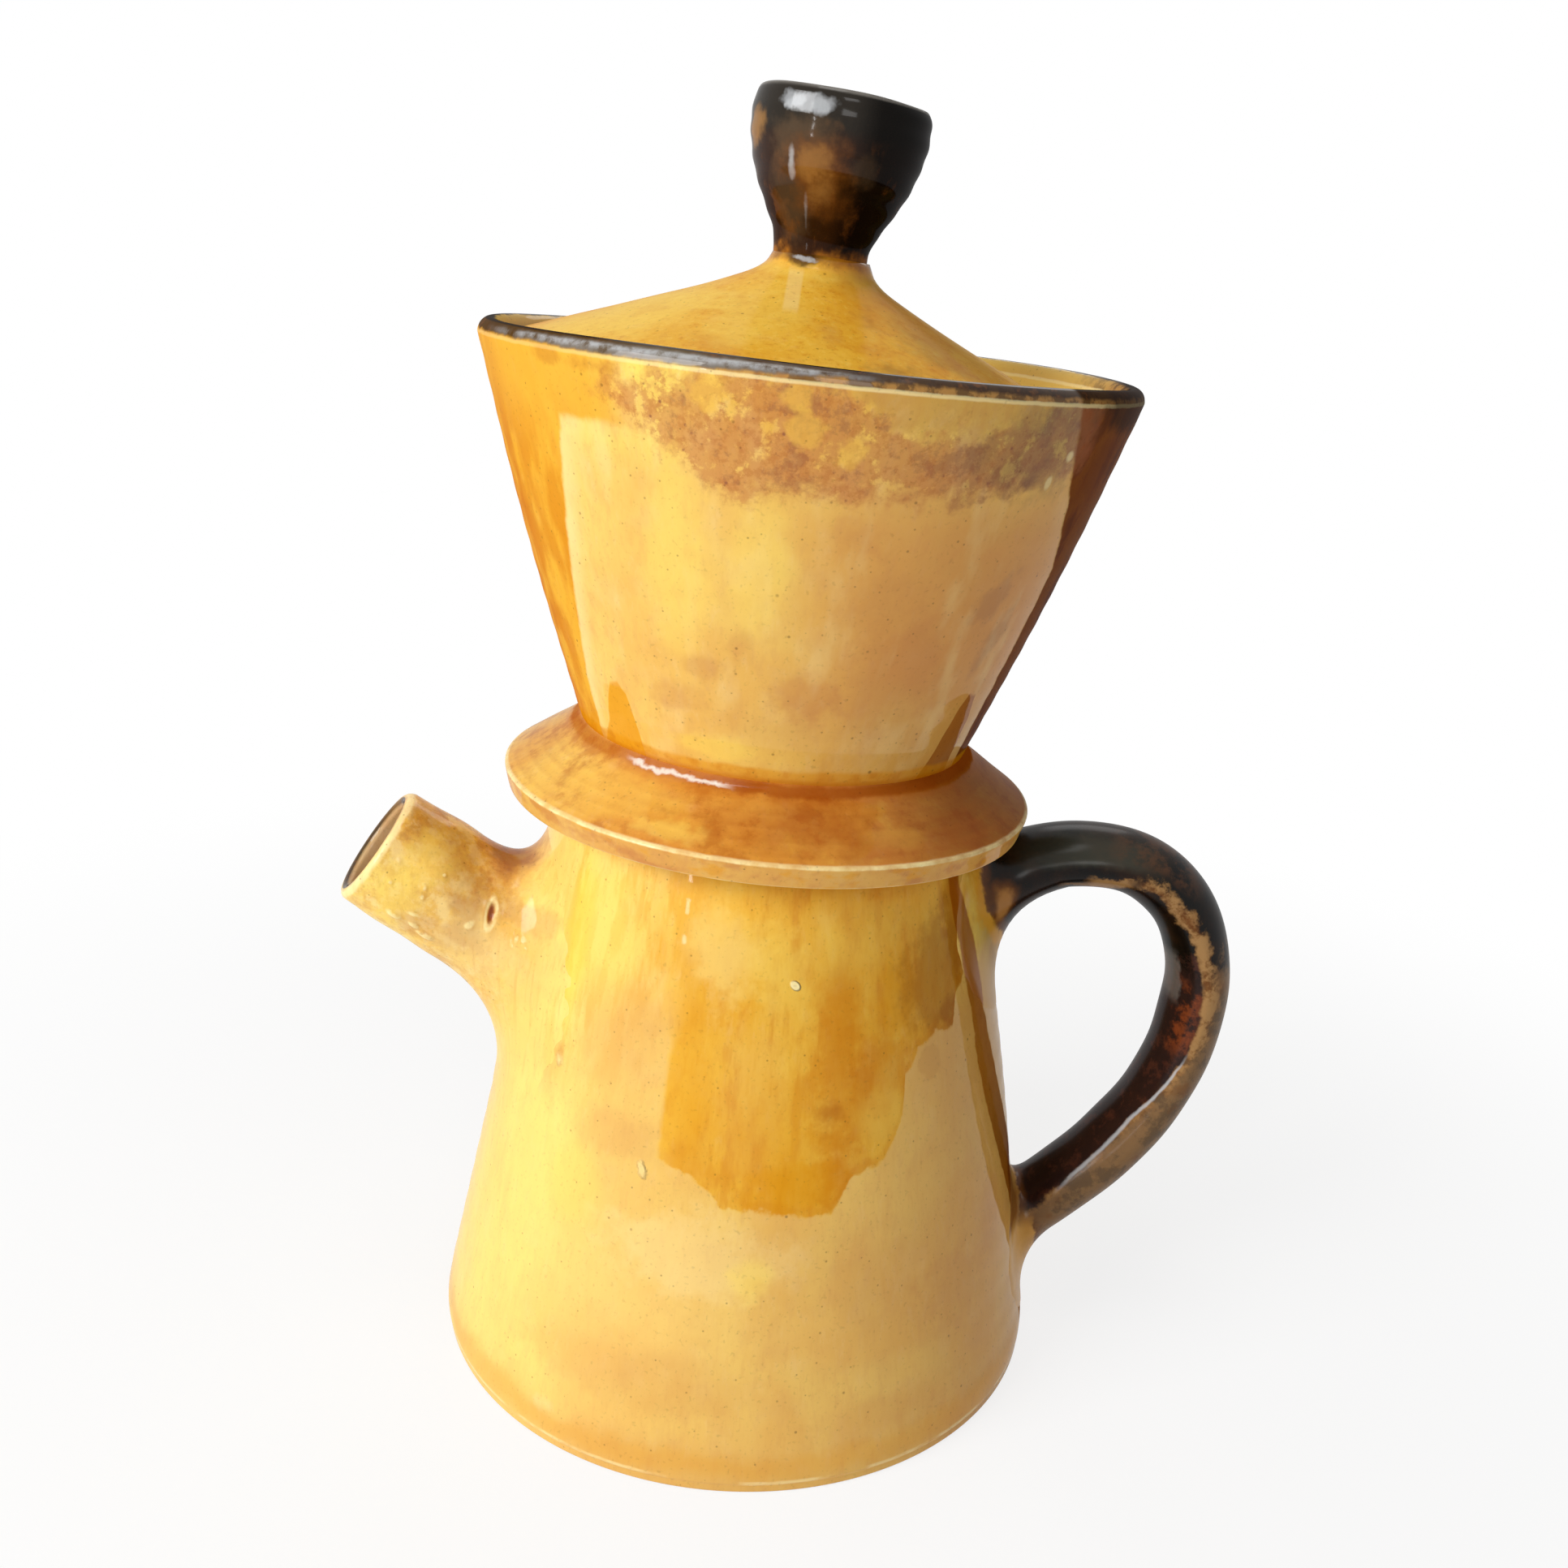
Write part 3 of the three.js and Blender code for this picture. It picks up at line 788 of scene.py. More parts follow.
def paint_veil_and_shade(honey: Honey, surface: Surface, where: Number = 1.0) -> None:
    """Lays a painted reflection, a pale veil, over the pot's lower front and right, and painted shade,
    browner, further right.

    Args:
        honey: the glaze below it.
        surface: places in the pot's frame.
        where: the zone that it keeps to, from 0 to 1.
    """
    level = surface.height + honey.edge * 14
    # Painted reflection: the pale veil; painted shade: the tan on the right.
    veil = level.step(112, 90) * surface.angle.step(-136, -112) * surface.angle.step(40, 20) * where
    honey.paint(veil * 0.6, Tone.VEIL)
    honey.paint(veil * surface.angle.step(-75, -25) * 0.5, Tone.TAN)


def streaked(honey: Honey, streak: Shade) -> None:
    """Lays the brown of the streak beside the handle where streak is 1."""
    honey.paint(streak * 0.7, Tone.DEEP)
    honey.paint(streak * 0.5, Tone.BROWN)


def streak_sides(surface: Surface) -> tuple[Shade, Shade]:
    """The angles of the left and right side of the streak beside the handle."""
    left = surface.height.line((36, -12), (51, -19.3), (68, -25.4), (80, -28.4), (92, -29.2), (120, -34))
    right = surface.height.line((52, -8), (60, -12), (70, -16.1), (85, -20.4), (101, -23.3), (120, -28))
    return left, right


def straightened(direction: np.ndarray, normal: np.ndarray) -> np.ndarray:
    """The unit direction along a surface that is nearest to a direction."""
    flat = direction - normal * float(direction @ normal)
    return flat / np.linalg.norm(flat)


@dataclass(frozen=True)
class Root:
    """How a limb grows out of the pot's wall, on a fillet that runs out along it and slips under its skin."""

    wall: Wall
    above: float
    below: float
    steps: int = 14
    slide: float = 0.5
    sunk: float = 0.9
    run_out: float = 4.5
    rim_margin: float = 2.5

    def rings(self, line: SideLine, sides: int, free: float) -> np.ndarray:
        """Makes the rings from the limb's free stretch into the wall.

        Args:
            line: gives the limb's skin at a turn from its upper side and a length from the wall, or its
                middle where the turn is None.
            sides: how many points each ring has.
            free: a length at which every side line is outside the wall.

        Returns:
            Rings of points, the last ones sunk in the wall.
        """
        columns = []
        for turn in np.linspace(0, 2 * math.pi, sides, endpoint=False):
            inside, outside = -free, free
            while outside - inside > 1e-4:
                middle = (inside + outside) / 2
                if self.wall.depth(line(turn, middle)) < 0:
                    inside = middle
                else:
                    outside = middle
            reach = self.above + (self.below - self.above) * (1 - math.cos(turn)) / 2
            columns.append(self._column(line, turn, outside, reach))
        return np.array(columns).transpose(1, 0, 2)

    def _column(self, line: SideLine, turn: float, exit_at: float, reach: float) -> list[np.ndarray]:
        """Makes one side line of the fillet.

        Args:
            line: the limb's skin, as in rings.
            turn: the side line's turn from the upper side.
            exit_at: the length at which it leaves the wall.
            reach: how far the fillet runs, both ways.

        Returns:
            Its points, from the limb to inside the wall.
        """
        corner, start = line(turn, exit_at), line(turn, exit_at + reach)
        from_middle = corner - line(None, exit_at)
        from_middle = from_middle / np.linalg.norm(from_middle)
        inwards = (corner - start) / np.linalg.norm(corner - start)
        along = straightened(from_middle + self.slide * inwards, self.wall.normal(corner))
        foot = self.wall.onto(corner + along * reach)
        out = self.wall.normal(foot)
        along = straightened(foot - corner, out)
        pull = np.linalg.norm(foot - corner) * 2 / 3
        first, second = start + (corner - start) * 2 / 3, foot - along * pull
        points = list(bent(np.linspace(0, 1, self.steps + 1)[:, None], start, first, second, foot))
        room = (self.wall.height - self.rim_margin - foot[2]) / max(along[2], 0.01)
        run = max(0.3, min(self.run_out, room))
        for share in (0.3, 0.6, 1.0):
            points.append(self.wall.onto(foot + along * run * share) - out * self.sunk * share**2)
        points.append(foot - out * self.sunk)
        return points


POT_CLOUDS = (
    Patch(-137, 106, 3.4, 17, Tone.SUN, 0.55, torn=0.9, soft=1.4),
    Patch(-128, 112, 7, 14, Tone.STRAW, 0.5, torn=1.4, soft=1.4),
    Patch(-147, 94, 5, 9, Tone.TAN, 0.2, torn=1.4, soft=1.4),
    Patch(-112, 40, 22, 12, Tone.BUTTER, 0.35, torn=1.4, soft=1.6),
    Patch(-122, 92, 11, 9, Tone.TAN, 0.25, torn=1.4, soft=1.2),
    Patch(-139, 80, 6, 8, Tone.MAUVE, 0.18, torn=1.4, soft=1.2),
    Patch(-136, 83.5, 1.6, 2.6, Tone.RUST, 0.3, torn=1.1, lean=15),
    Patch(-118, 71, 8, 5, Tone.MAUVE, 0.18, torn=1.8, soft=1.2),
    Patch(-126, 58, 7, 8, Tone.STRAW, 0.35),
    Patch(-98, 50, 20, 8, Tone.CREAM, 0.35, torn=1.4),
    Patch(-87, 47, 4.2, 5, Tone.STRAW, 0.5, torn=1.3),
    Patch(-64, 46, 11, 11, Tone.MAUVE, 0.16, torn=1.6, soft=1.2),
    Patch(-44, 34, 9, 8, Tone.MAUVE, 0.2, torn=1.6, soft=1.2),
    Patch(-28, 44, 6, 8, Tone.MAUVE, 0.2, torn=1.6, soft=1.2),
    Patch(-104, 22, 26, 6, Tone.TAN, 0.2, torn=1.4),
    Patch(-62, 14, 20, 5, Tone.TAN, 0.25, torn=1.4),
    Patch(-124, 9, 5, 2.4, Tone.PALE_BREAK, 0.5, torn=1.0),
    Patch(-109, 14.7, 0.45, 0.45, Tone.SPECK, 0.9, torn=0.2, soft=0.4),
)
TONGUE_CLOUDS = (
    Patch(-103, 84, 4.2, 22, Tone.AMBER, 0.28),
    # A painted highlight: the pale cream patch at the tongue's top, under the saucer.
    Patch(-98, 112, 6, 8, Tone.CREAM, 0.4, torn=1.6, soft=1.6),
    Patch(-101, 69, 4.2, 5, Tone.DEEP, 0.2),
    Patch(-89, 82, 6, 14, Tone.VEIL, 0.22, torn=2.0, soft=1.4),
    Patch(-71, 90, 7, 20, Tone.AMBER, 0.4, torn=1.6, soft=1.4),
    Patch(-71, 91, 5, 20, Tone.DEEP, 0.4, torn=1.8, soft=1.4),
    Patch(-60, 88, 7, 7, Tone.DEEP, 0.35, torn=1.6),
    Patch(-80, 64, 10, 6, Tone.AMBER, 0.5, torn=1.5),
    Patch(-68, 68, 5, 8, Tone.DEEP, 0.3, torn=2.0, soft=1.4),
    Patch(-82, 74, 8, 12, Tone.AMBER, 0.4, torn=1.8, soft=1.6),
    Patch(-73.5, 80.7, 2.4, 3.0, Tone.RUST, 0.4, torn=2.6, soft=1.8),
    Patch(-60, 78, 5, 5, Tone.HONEY, 0.5, torn=1.5),
    Patch(-84, 109, 6, 9, Tone.STRAW, 0.22, torn=1.8),
    Patch(-94, 114, 9, 11, Tone.STRAW, 0.3, torn=1.8),
    Patch(-66, 116, 10, 8, Tone.STRAW, 0.22, torn=1.8),
    Patch(-55, 103, 5, 9, Tone.AMBER, 0.5, torn=1.5),
    Patch(-42, 102, 10, 13, Tone.RUSSET, 0.5, torn=1.4),
    Patch(-38, 94, 5, 4.5, Tone.RUSSET, 0.6, torn=1.3),
    Patch(-32, 113, 5, 14, Tone.RUSSET, 0.45, torn=1.0),
)


@dataclass
class PotBody:
    """The thrown pot with its foot, its hollow and the hole behind the spout."""

    wall: Wall
    rim_seat: Matrix
    spout_bore: Bore
    floor: float = 6.5
    underside: float = 1.2
    foot_ring: float = 10.5
    foot_edge: float = 2.5
    foot_step: float = 0.45

    def build(self) -> bpy.types.Object:
        """Makes the pot."""
        wall = self.wall
        inner_floor = wall.straight(self.floor) - wall.inset
        foot = wall.foot_radius
        corners = [
            Corner(0, self.underside),
            Corner(foot - self.foot_ring - 1.5, self.underside, 1),
            Corner(foot - self.foot_ring, 0, 1),
            Corner(foot - self.foot_step, 0, 0.9),
            Corner(foot - self.foot_step, self.foot_edge - 0.4, 0.3),
            Corner(foot - 0.2, self.foot_edge, 0.5),
            Corner(foot - 0.2, wall.band, 3.4),
            Corner(wall.mouth_radius, wall.height - 0.1, 0.8),
            Corner(wall.mouth_radius - wall.inset, wall.height - 0.1, 0.8),
            Corner(inner_floor, self.floor, 9),
            Corner(0, self.floor),
        ]
        rings = turned(outline(corners), Hand(seed=1, out_of_round=0.12, wave=0), widen=wall.swelling)
        self._slant_rim(rings)
        made = skin("pot_body_glazed", rings)
        drill(made, [self.spout_bore])
        made.data.shade_smooth()
        return made

    def _slant_rim(self, rings: np.ndarray) -> None:
        """Leans the rim to the filter's slant, which the wall below takes up gradually."""
        slant = math.tan(self.rim_seat.to_euler().y)
        share = np.clip((rings[..., 2] - self.wall.height * 0.7) / (self.wall.height * 0.3), 0, 1)
        rings[..., 2] -= share * rings[..., 0] * slant

    def recipe(self, surface: Surface) -> Glaze:
        """The pot's glaze.

        Args:
            surface: places on the pot.

        Returns:
            The glaze.
        """
        honey = Honey(surface)
        wall = self.wall
        honey.runs(0.26)
        # Painted light: the lit side is painted paler.
        honey.paint(painted_light_side(surface.angle) * 0.64, Tone.BUTTER)
        # The tongue is partly a painted reflection of dark surroundings; the painted veil is laid outside it.
        tongue = self._tongue(honey, surface)
        paint_veil_and_shade(honey, surface, 1 - tongue)
        honey.patches(60, *POT_CLOUDS)
        honey.paint((surface.height + honey.edge * 9).step(13, 6) * 0.2, Tone.TAN)
        honey.paint((surface.height + honey.edge * 8).within(3.5, 8.5, 4) * 0.3, Tone.AMBER)
        # A pale line on the foot's edge: partly the glaze breaking over it, partly a painted highlight.
        level = surface.height - self.foot_edge + honey.fine_edge * 0.5
        line = level.within(-0.3, 0.6, 0.5)
        honey.paint(line * honey.edge.step(-0.1, 0.06) * 0.55, Tone.PALE_BREAK)
        self._dark_roots(honey, surface)
        blister = surface.near(-80.8, 106.9, 1.3, 0.9, 51, lean=40).step(1.1, 0.7)
        honey.paint(blister, Tone.PALE_BREAK)
        lump = surface.near(-110.6, 66.2, 1.9, 1.1, 59, lean=60) + honey.fine_edge * 2.4
        lump = lump.at_most(surface.near(-136, 81, 1.4, 1.4, 55) + honey.fine_edge * 2.4).step(1.2, 0.2)
        honey.paint(lump * 0.4, Tone.PALE_BREAK)
        honey.relief = honey.relief + blister * 0.5 + lump * 0.6
        inside = wall.clear_of(surface).step(-1.6, -3.2)
        honey.paint(inside * 0.75, Tone.CREAM)
        under = surface.height.step(0.35, 0.1)
        honey.paint(under, Tone.BARE_CLAY)
        honey.gloss = honey.gloss * (1 - under)
        honey.speckle(0.5)
        return honey.glaze()

    @staticmethod
    def _tongue(honey: Honey, surface: Surface) -> Shade:
        """Lays the long tongue of deeper amber down the front, partly glaze that ran and partly a painted
        reflection of dark surroundings, with the painted veil kept out of it; and the streak beside it.

        Args:
            honey: the glaze below it.
            surface: places on the pot.

        Returns:
            Where the tongue and the streak are.
        """
        lowest = surface.angle.line(
            (-109, 69), (-101, 67.5), (-96, 64), (-94, 61), (-72, 59.5), (-67, 67), (-62, 68), (-58, 72),
            (-55, 78), (-54, 85), (-50, 90), (-44, 92.5), (-38, 91.5), (-35.5, 98), (-31, 101), (-29, 118),
        )
        level = surface.height + honey.fine_edge * 4 + honey.edge * 3
        side = surface.angle + honey.fine_edge * 1.5
        soft = surface.height.step(88, 110) * 8 + 0.8
        tongue = (level - lowest).step(-0.6, 0.6) * (side + 107.5).step(-soft, soft) * side.step(-28, -30)
        honey.paint(tongue * 0.56, Tone.AMBER)
        pulled = surface.noise(4.2, 24, detail=5, tall=8, rough=0.62)
        honey.paint(tongue * pulled.step(0.47, 0.66) * side.step(-104, -92) * 0.38, Tone.DEEP)
        honey.paint(tongue * pulled.step(0.45, 0.3) * 0.2, Tone.STRAW)
        spread = (surface.height + honey.edge * 24).step(66, 104) * side.within(-144, -106, 14)
        honey.paint(spread * pulled.step(0.42, 0.58) * 0.45, Tone.AMBER)
        honey.patches(56, *TONGUE_CLOUDS, where=tongue)
        fringe = tongue * (level - lowest).within(-0.5, 2.2, 1.6) * surface.angle.step(-96, -84)
        honey.paint(fringe * 0.18, Tone.DEEP)
        left, right = streak_sides(surface)
        # Painted reflection: a pale strip right of the streak.
        beside = side.within(right, right + 9, 2.0) * surface.height.within(48, 112, 10)
        honey.paint(beside * 0.5, Tone.CREAM)
        streak = side.within(left, right, 1.0)
        streaked(honey, streak)
        honey.paint(streak * surface.height.step(84, 50) * 0.5, Tone.BROWN)
        honey.gloss = honey.gloss - (tongue * 0.34).at_least(streak * 0.46)
        honey.patches(60, Patch(-9, 45, 4, 9, Tone.BROWN, 0.8, torn=0.6))
        islet = (surface.near(-46.5, 86.6, 3.4, 3.4, 55, lean=20) + honey.torn_edge * 1.4).step(1.15, 0.85)
        honey.paint(islet * 0.7, Tone.MUSTARD)
        return tongue.at_least(streak)

    @staticmethod
    def _dark_roots(honey: Honey, surface: Surface) -> None:
        """Lays the dark glaze that ran from the handle's upper root onto the wall.

        Args:
            honey: the glaze below it.
            surface: places on the pot.
        """
        run = surface.near(0, 123, 14, 11, 49) + honey.edge * 1.2 + honey.fine_edge * 0.8
        honey.paint(run.step(1.6, 1.1) * 0.55, Tone.BURNT)
        honey.paint(run.step(1.2, 0.85), Tone.COFFEE)


@dataclass(frozen=True)
class Lump:
    """A blister in the spout's glaze: its turn from the upper side, height on the axis, size and lean."""

    turn: float
    height: float
    across: float
    along: float
    rise: float
    lean: float = 0.0

    def distance(self, surface: Surface, radius: float) -> Shade:
        """How far a place of the spout is from the lump's middle, as 1 on its border."""
        return surface.near(self.turn, self.height, self.across, self.along, radius, self.lean)


BLISTERS = (
    Lump(-118, 94.0, 1.0, 2.2, 0.6),
    Lump(-117, 89.4, 0.8, 1.6, 0.6, 12),
    Lump(-121, 85.8, 0.9, 2.4, 0.7, -8),
    Lump(-106, 91.0, 0.7, 2.0, 0.35, -10),
    Lump(-87, 80.1, 1.3, 0.9, 0.5, 20),
    Lump(-73, 100.0, 0.6, 0.6, 0.4),
    Lump(-92, 99.0, 0.65, 0.6, 0.45),
    Lump(-101, 101.0, 0.6, 0.6, 0.4),
    Lump(-62, 90.5, 0.5, 0.5, 0.4),
    Lump(-80, 92.5, 0.6, 0.9, 0.4, 60),
    Lump(-88, 91.8, 0.6, 0.7, 0.4, 60),
    Lump(-74, 70.6, 0.6, 1.4, 0.45, 60),
    Lump(-76, 68.6, 0.7, 1.3, 0.4, 50),
)
PIT = Lump(-68.8, 77.6, 0.85, 2.5, -1.0, 68)


SPOUT_CLOUDS = (
    Patch(0, 80, 12, 7, Tone.MAUVE, 0.55),
    Patch(-8, 79, 6, 4, Tone.PLUM, 0.65, torn=1.2),
    Patch(-24, 97, 6, 6, Tone.OCHRE, 0.5, torn=2.2, soft=1.4),
    Patch(-35, 88, 6, 5, Tone.OCHRE, 0.35, torn=2.2, soft=1.4),
    Patch(-60, 86, 6, 6, Tone.OCHRE, 0.2, torn=1.8),
    Patch(-78, 83, 2.4, 3.4, Tone.RUST, 0.35, torn=1.2),
    Patch(-70, 73, 2.5, 3, Tone.AMBER, 0.35),
    Patch(-112, 86, 4, 9, Tone.MAUVE, 0.3, torn=1.5),
    Patch(-97, 80, 3, 5, Tone.MAUVE, 0.35, torn=1.5),
    Patch(-58, 70, 3, 6, Tone.MAUVE, 0.3, torn=1.5),
    Patch(-84, 96, 9, 6, Tone.STRAW, 0.5, torn=1.6),
    Patch(-86, 70, 9, 9, Tone.VEIL, 0.35, torn=1.6, soft=1.4),
    Patch(-70, 80, 6, 6, Tone.OCHRE, 0.25, torn=2.0, soft=1.4),
    Patch(-105, 76, 8, 10, Tone.CREAM, 0.4),
)


@dataclass
class Spout:
    """The short thrown tube that pours."""

    wall: Wall
    yaw: float = 10.0
    pitch: float = 35.0
    reach: float = 85.8
    drop: float = 13.4
    radius: float = 14.1
    lip_radius: float = 13.5
    thickness: float = 3.4
    sides: int = 144

    def __post_init__(self) -> None:
        """Works out the frame whose Z axis is the spout's middle line, from the pot's axis."""
        yaw, pitch = math.radians(self.yaw), math.radians(self.pitch)
        level = Vector((-math.cos(yaw), -math.sin(yaw), 0))
        out = level * math.cos(pitch) + Vector((0, 0, math.sin(pitch)))
        up = level * -math.sin(pitch) + Vector((0, 0, math.cos(pitch)))
        across = out.cross(up)
        self.length = self.reach / math.cos(pitch)
        tip = level * self.reach + Vector((0, 0, self.wall.height - self.drop))
        start = tip - out * self.length
        self.seat = Matrix.Translation(start) @ Matrix((up, across, out)).transposed().to_4x4()
        self._axes = np.array(self.seat.to_3x3())
        self._start = np.array(start)

    @property
    def bore(self) -> Bore:
        """The hole through the pot's wall behind the spout, as drill takes it."""
        start = self.wall.mouth_radius / 2
        end = self.length - 10
        return self.seat @ Matrix.Translation((0, 0, start)), self.radius - self.thickness, end - start

    def _line(self, turn: Optional[float], length: float, radius: Optional[float] = None) -> np.ndarray:
        """A point of the spout's skin, or of its middle where turn is None."""
        if turn is None:
            return self._start + self._axes[:, 2] * length
        if radius is None:
            near_lip = np.clip((length - self.length + self.radius) / self.radius, 0, 1)
            radius = self.radius + (self.lip_radius - self.radius) * near_lip**2 * (3 - 2 * near_lip)
            radius += 0.14 * math.sin(3 * turn + length / 7) + 0.1 * math.sin(length / 2.3 + turn)
        around = self._axes[:, 0] * math.cos(turn) + self._axes[:, 1] * math.sin(turn)
        return self._start + self._axes[:, 2] * length + around * radius

    def _blistered(self, rings: np.ndarray) -> np.ndarray:
        """Raises the blisters out of the skin and sinks the pit with its raised edge into it.

        Args:
            rings: the spout's outer skin.

        Returns:
            The new skin.
        """
        local = (rings - self._start) @ self._axes
        turn = np.arctan2(local[..., 1], local[..., 0])
        radius = np.hypot(local[..., 0], local[..., 1])
        rise = np.zeros_like(radius)
        for lump in BLISTERS + (PIT,):
            aside = np.angle(np.exp(1j * (turn - math.radians(lump.turn)))) * radius
            along = local[..., 2] - lump.height
            lean = math.radians(lump.lean)
            thin = (aside * math.cos(lean) - along * math.sin(lean)) / lump.across
            away = np.hypot(thin, (along * math.cos(lean) + aside * math.sin(lean)) / lump.along)
            rise += lump.rise * np.clip(1 - away**2, 0, 1)
            if lump is PIT:
                rise += 0.35 * np.exp(-(((away - 1.3) / 0.35) ** 2))
        out = np.stack([np.cos(turn), np.sin(turn), np.zeros_like(turn)], axis=-1)
        return rings + (out * rise[..., None]) @ self._axes.T

    def build(self) -> bpy.types.Object:
        """Makes the spout: skin, lip and bore in one closed skin."""
        exit_at = self.wall.straight(self.wall.height - 40) / math.cos(math.radians(self.pitch))
        root = Root(self.wall, above=15, below=21, steps=36)

        def from_wall(turn: Optional[float], length: float) -> np.ndarray:
            """The spout's skin at a length from the pot's wall."""
            return self._line(turn, exit_at + length)

        roots = root.rings(from_wall, self.sides, self.length - exit_at)[::-1]
        turns = np.linspace(0, 2 * math.pi, self.sides, endpoint=False)
        first = np.linalg.norm((roots[-1] - self._start) @ self._axes[:, 2:], axis=1)
        lip_start = self.length - self.thickness / 2
        columns = []
        for turn, start in zip(turns, first):
            columns.append([self._line(turn, length) for length in np.linspace(start, lip_start, 44)[1:]])
        outside = np.array(columns).transpose(1, 0, 2)
        outside = self._blistered(np.concatenate([roots, outside]))
        middle = self.lip_radius - self.thickness / 2
        rounds = [
            (middle + self.thickness / 2 * math.cos(bend), lip_start + self.thickness / 2 * math.sin(bend))
            for bend in np.linspace(0, math.pi, 9)[1:]
        ]
        bore = self.radius - self.thickness
        inner = [(bore, length) for length in np.linspace(lip_start - 2, exit_at - 6, 24)]
        inside = [[self._line(turn, length, radius) for turn in turns] for radius, length in rounds + inner]
        return skin("spout_glazed", np.concatenate([outside, np.array(inside)]), closed=True)

    def recipe(self, surface: Surface) -> Glaze:
        """The spout's glaze.

        Args:
            surface: places on the spout, its height along the middle line.

        Returns:
            The glaze.
        """
        upright = Surface(surface.tree, Matrix())
        honey = Honey(surface, ground=upright)
        off_wall = self.wall.clear_of(upright).step(1, 12)
        # Painted light: the pot's paler lit side runs onto the spout near the wall.
        honey.paint(painted_light_side(upright.angle) * (0.64 - off_wall * 0.64), Tone.BUTTER)
        from_lip = self.length - surface.height
        outer = surface.radius.step(self.radius - 2.2, self.radius - 1.4)
        mottle = surface.noise(5, 22, detail=5, rough=0.62)
        upper = (surface.angle + honey.edge * 60).step(-88, -30) * surface.angle.step(88, 40)
        honey.paint((0.46 - upper * 0.36) * off_wall, Tone.BUTTER)
        honey.paint(mottle.step(0.46, 0.62) * (upper * 0.2 + 0.3) * off_wall, Tone.TAN)
        honey.paint(from_lip.step(34, 20) * mottle.step(0.52, 0.66) * upper * 0.4, Tone.OCHRE)
        flecks = surface.noise(1.9, 25, detail=4, rough=0.68)
        honey.paint(flecks.step(0.5, 0.64) * (upper * 0.2 + 0.3) * off_wall, Tone.TAN)
        honey.paint(flecks.step(0.46, 0.34) * off_wall * 0.45, Tone.CREAM)
        honey.paint(surface.noise(4, 23, detail=4, rough=0.6).step(0.48, 0.64) * off_wall * 0.72, Tone.CREAM)
        honey.patches(self.radius, *SPOUT_CLOUDS)
        raised = self.radius + 0.5
        for lump in BLISTERS:
            away = lump.distance(surface, raised) + honey.fine_edge * 2.4
            honey.paint(away.step(1.0, 0.3) * 0.75, Tone.PALE_BREAK)
        pit = PIT.distance(surface, raised)
        honey.paint(pit.within(1.05, 1.6, 0.5) * (honey.fine_edge * 4 + 0.8) * 0.85, Tone.PALE_BREAK)
        honey.paint(pit.step(1.1, 0.5) * 0.9, Tone.RUST)
        lip = (from_lip + honey.fine_edge * 1.5).within(-1.0, 1.4, 0.8)
        honey.paint(lip * outer * 0.7, Tone.PALE_BREAK)
        honey.paint((1 - outer) * from_lip.step(-0.4, 0.8) * 0.75, Tone.FAWN)
        bore = self.radius - self.thickness
        inner_edge = surface.radius.within(bore - 0.2, bore + 1.1, 0.5)
        honey.paint(inner_edge * (from_lip + honey.fine_edge).step(2.6, 1.2) * 0.95, Tone.COFFEE)
        honey.runs(0.2)
        honey.speckle(0.5)
        honey.blur = 0.12
        return honey.glaze()


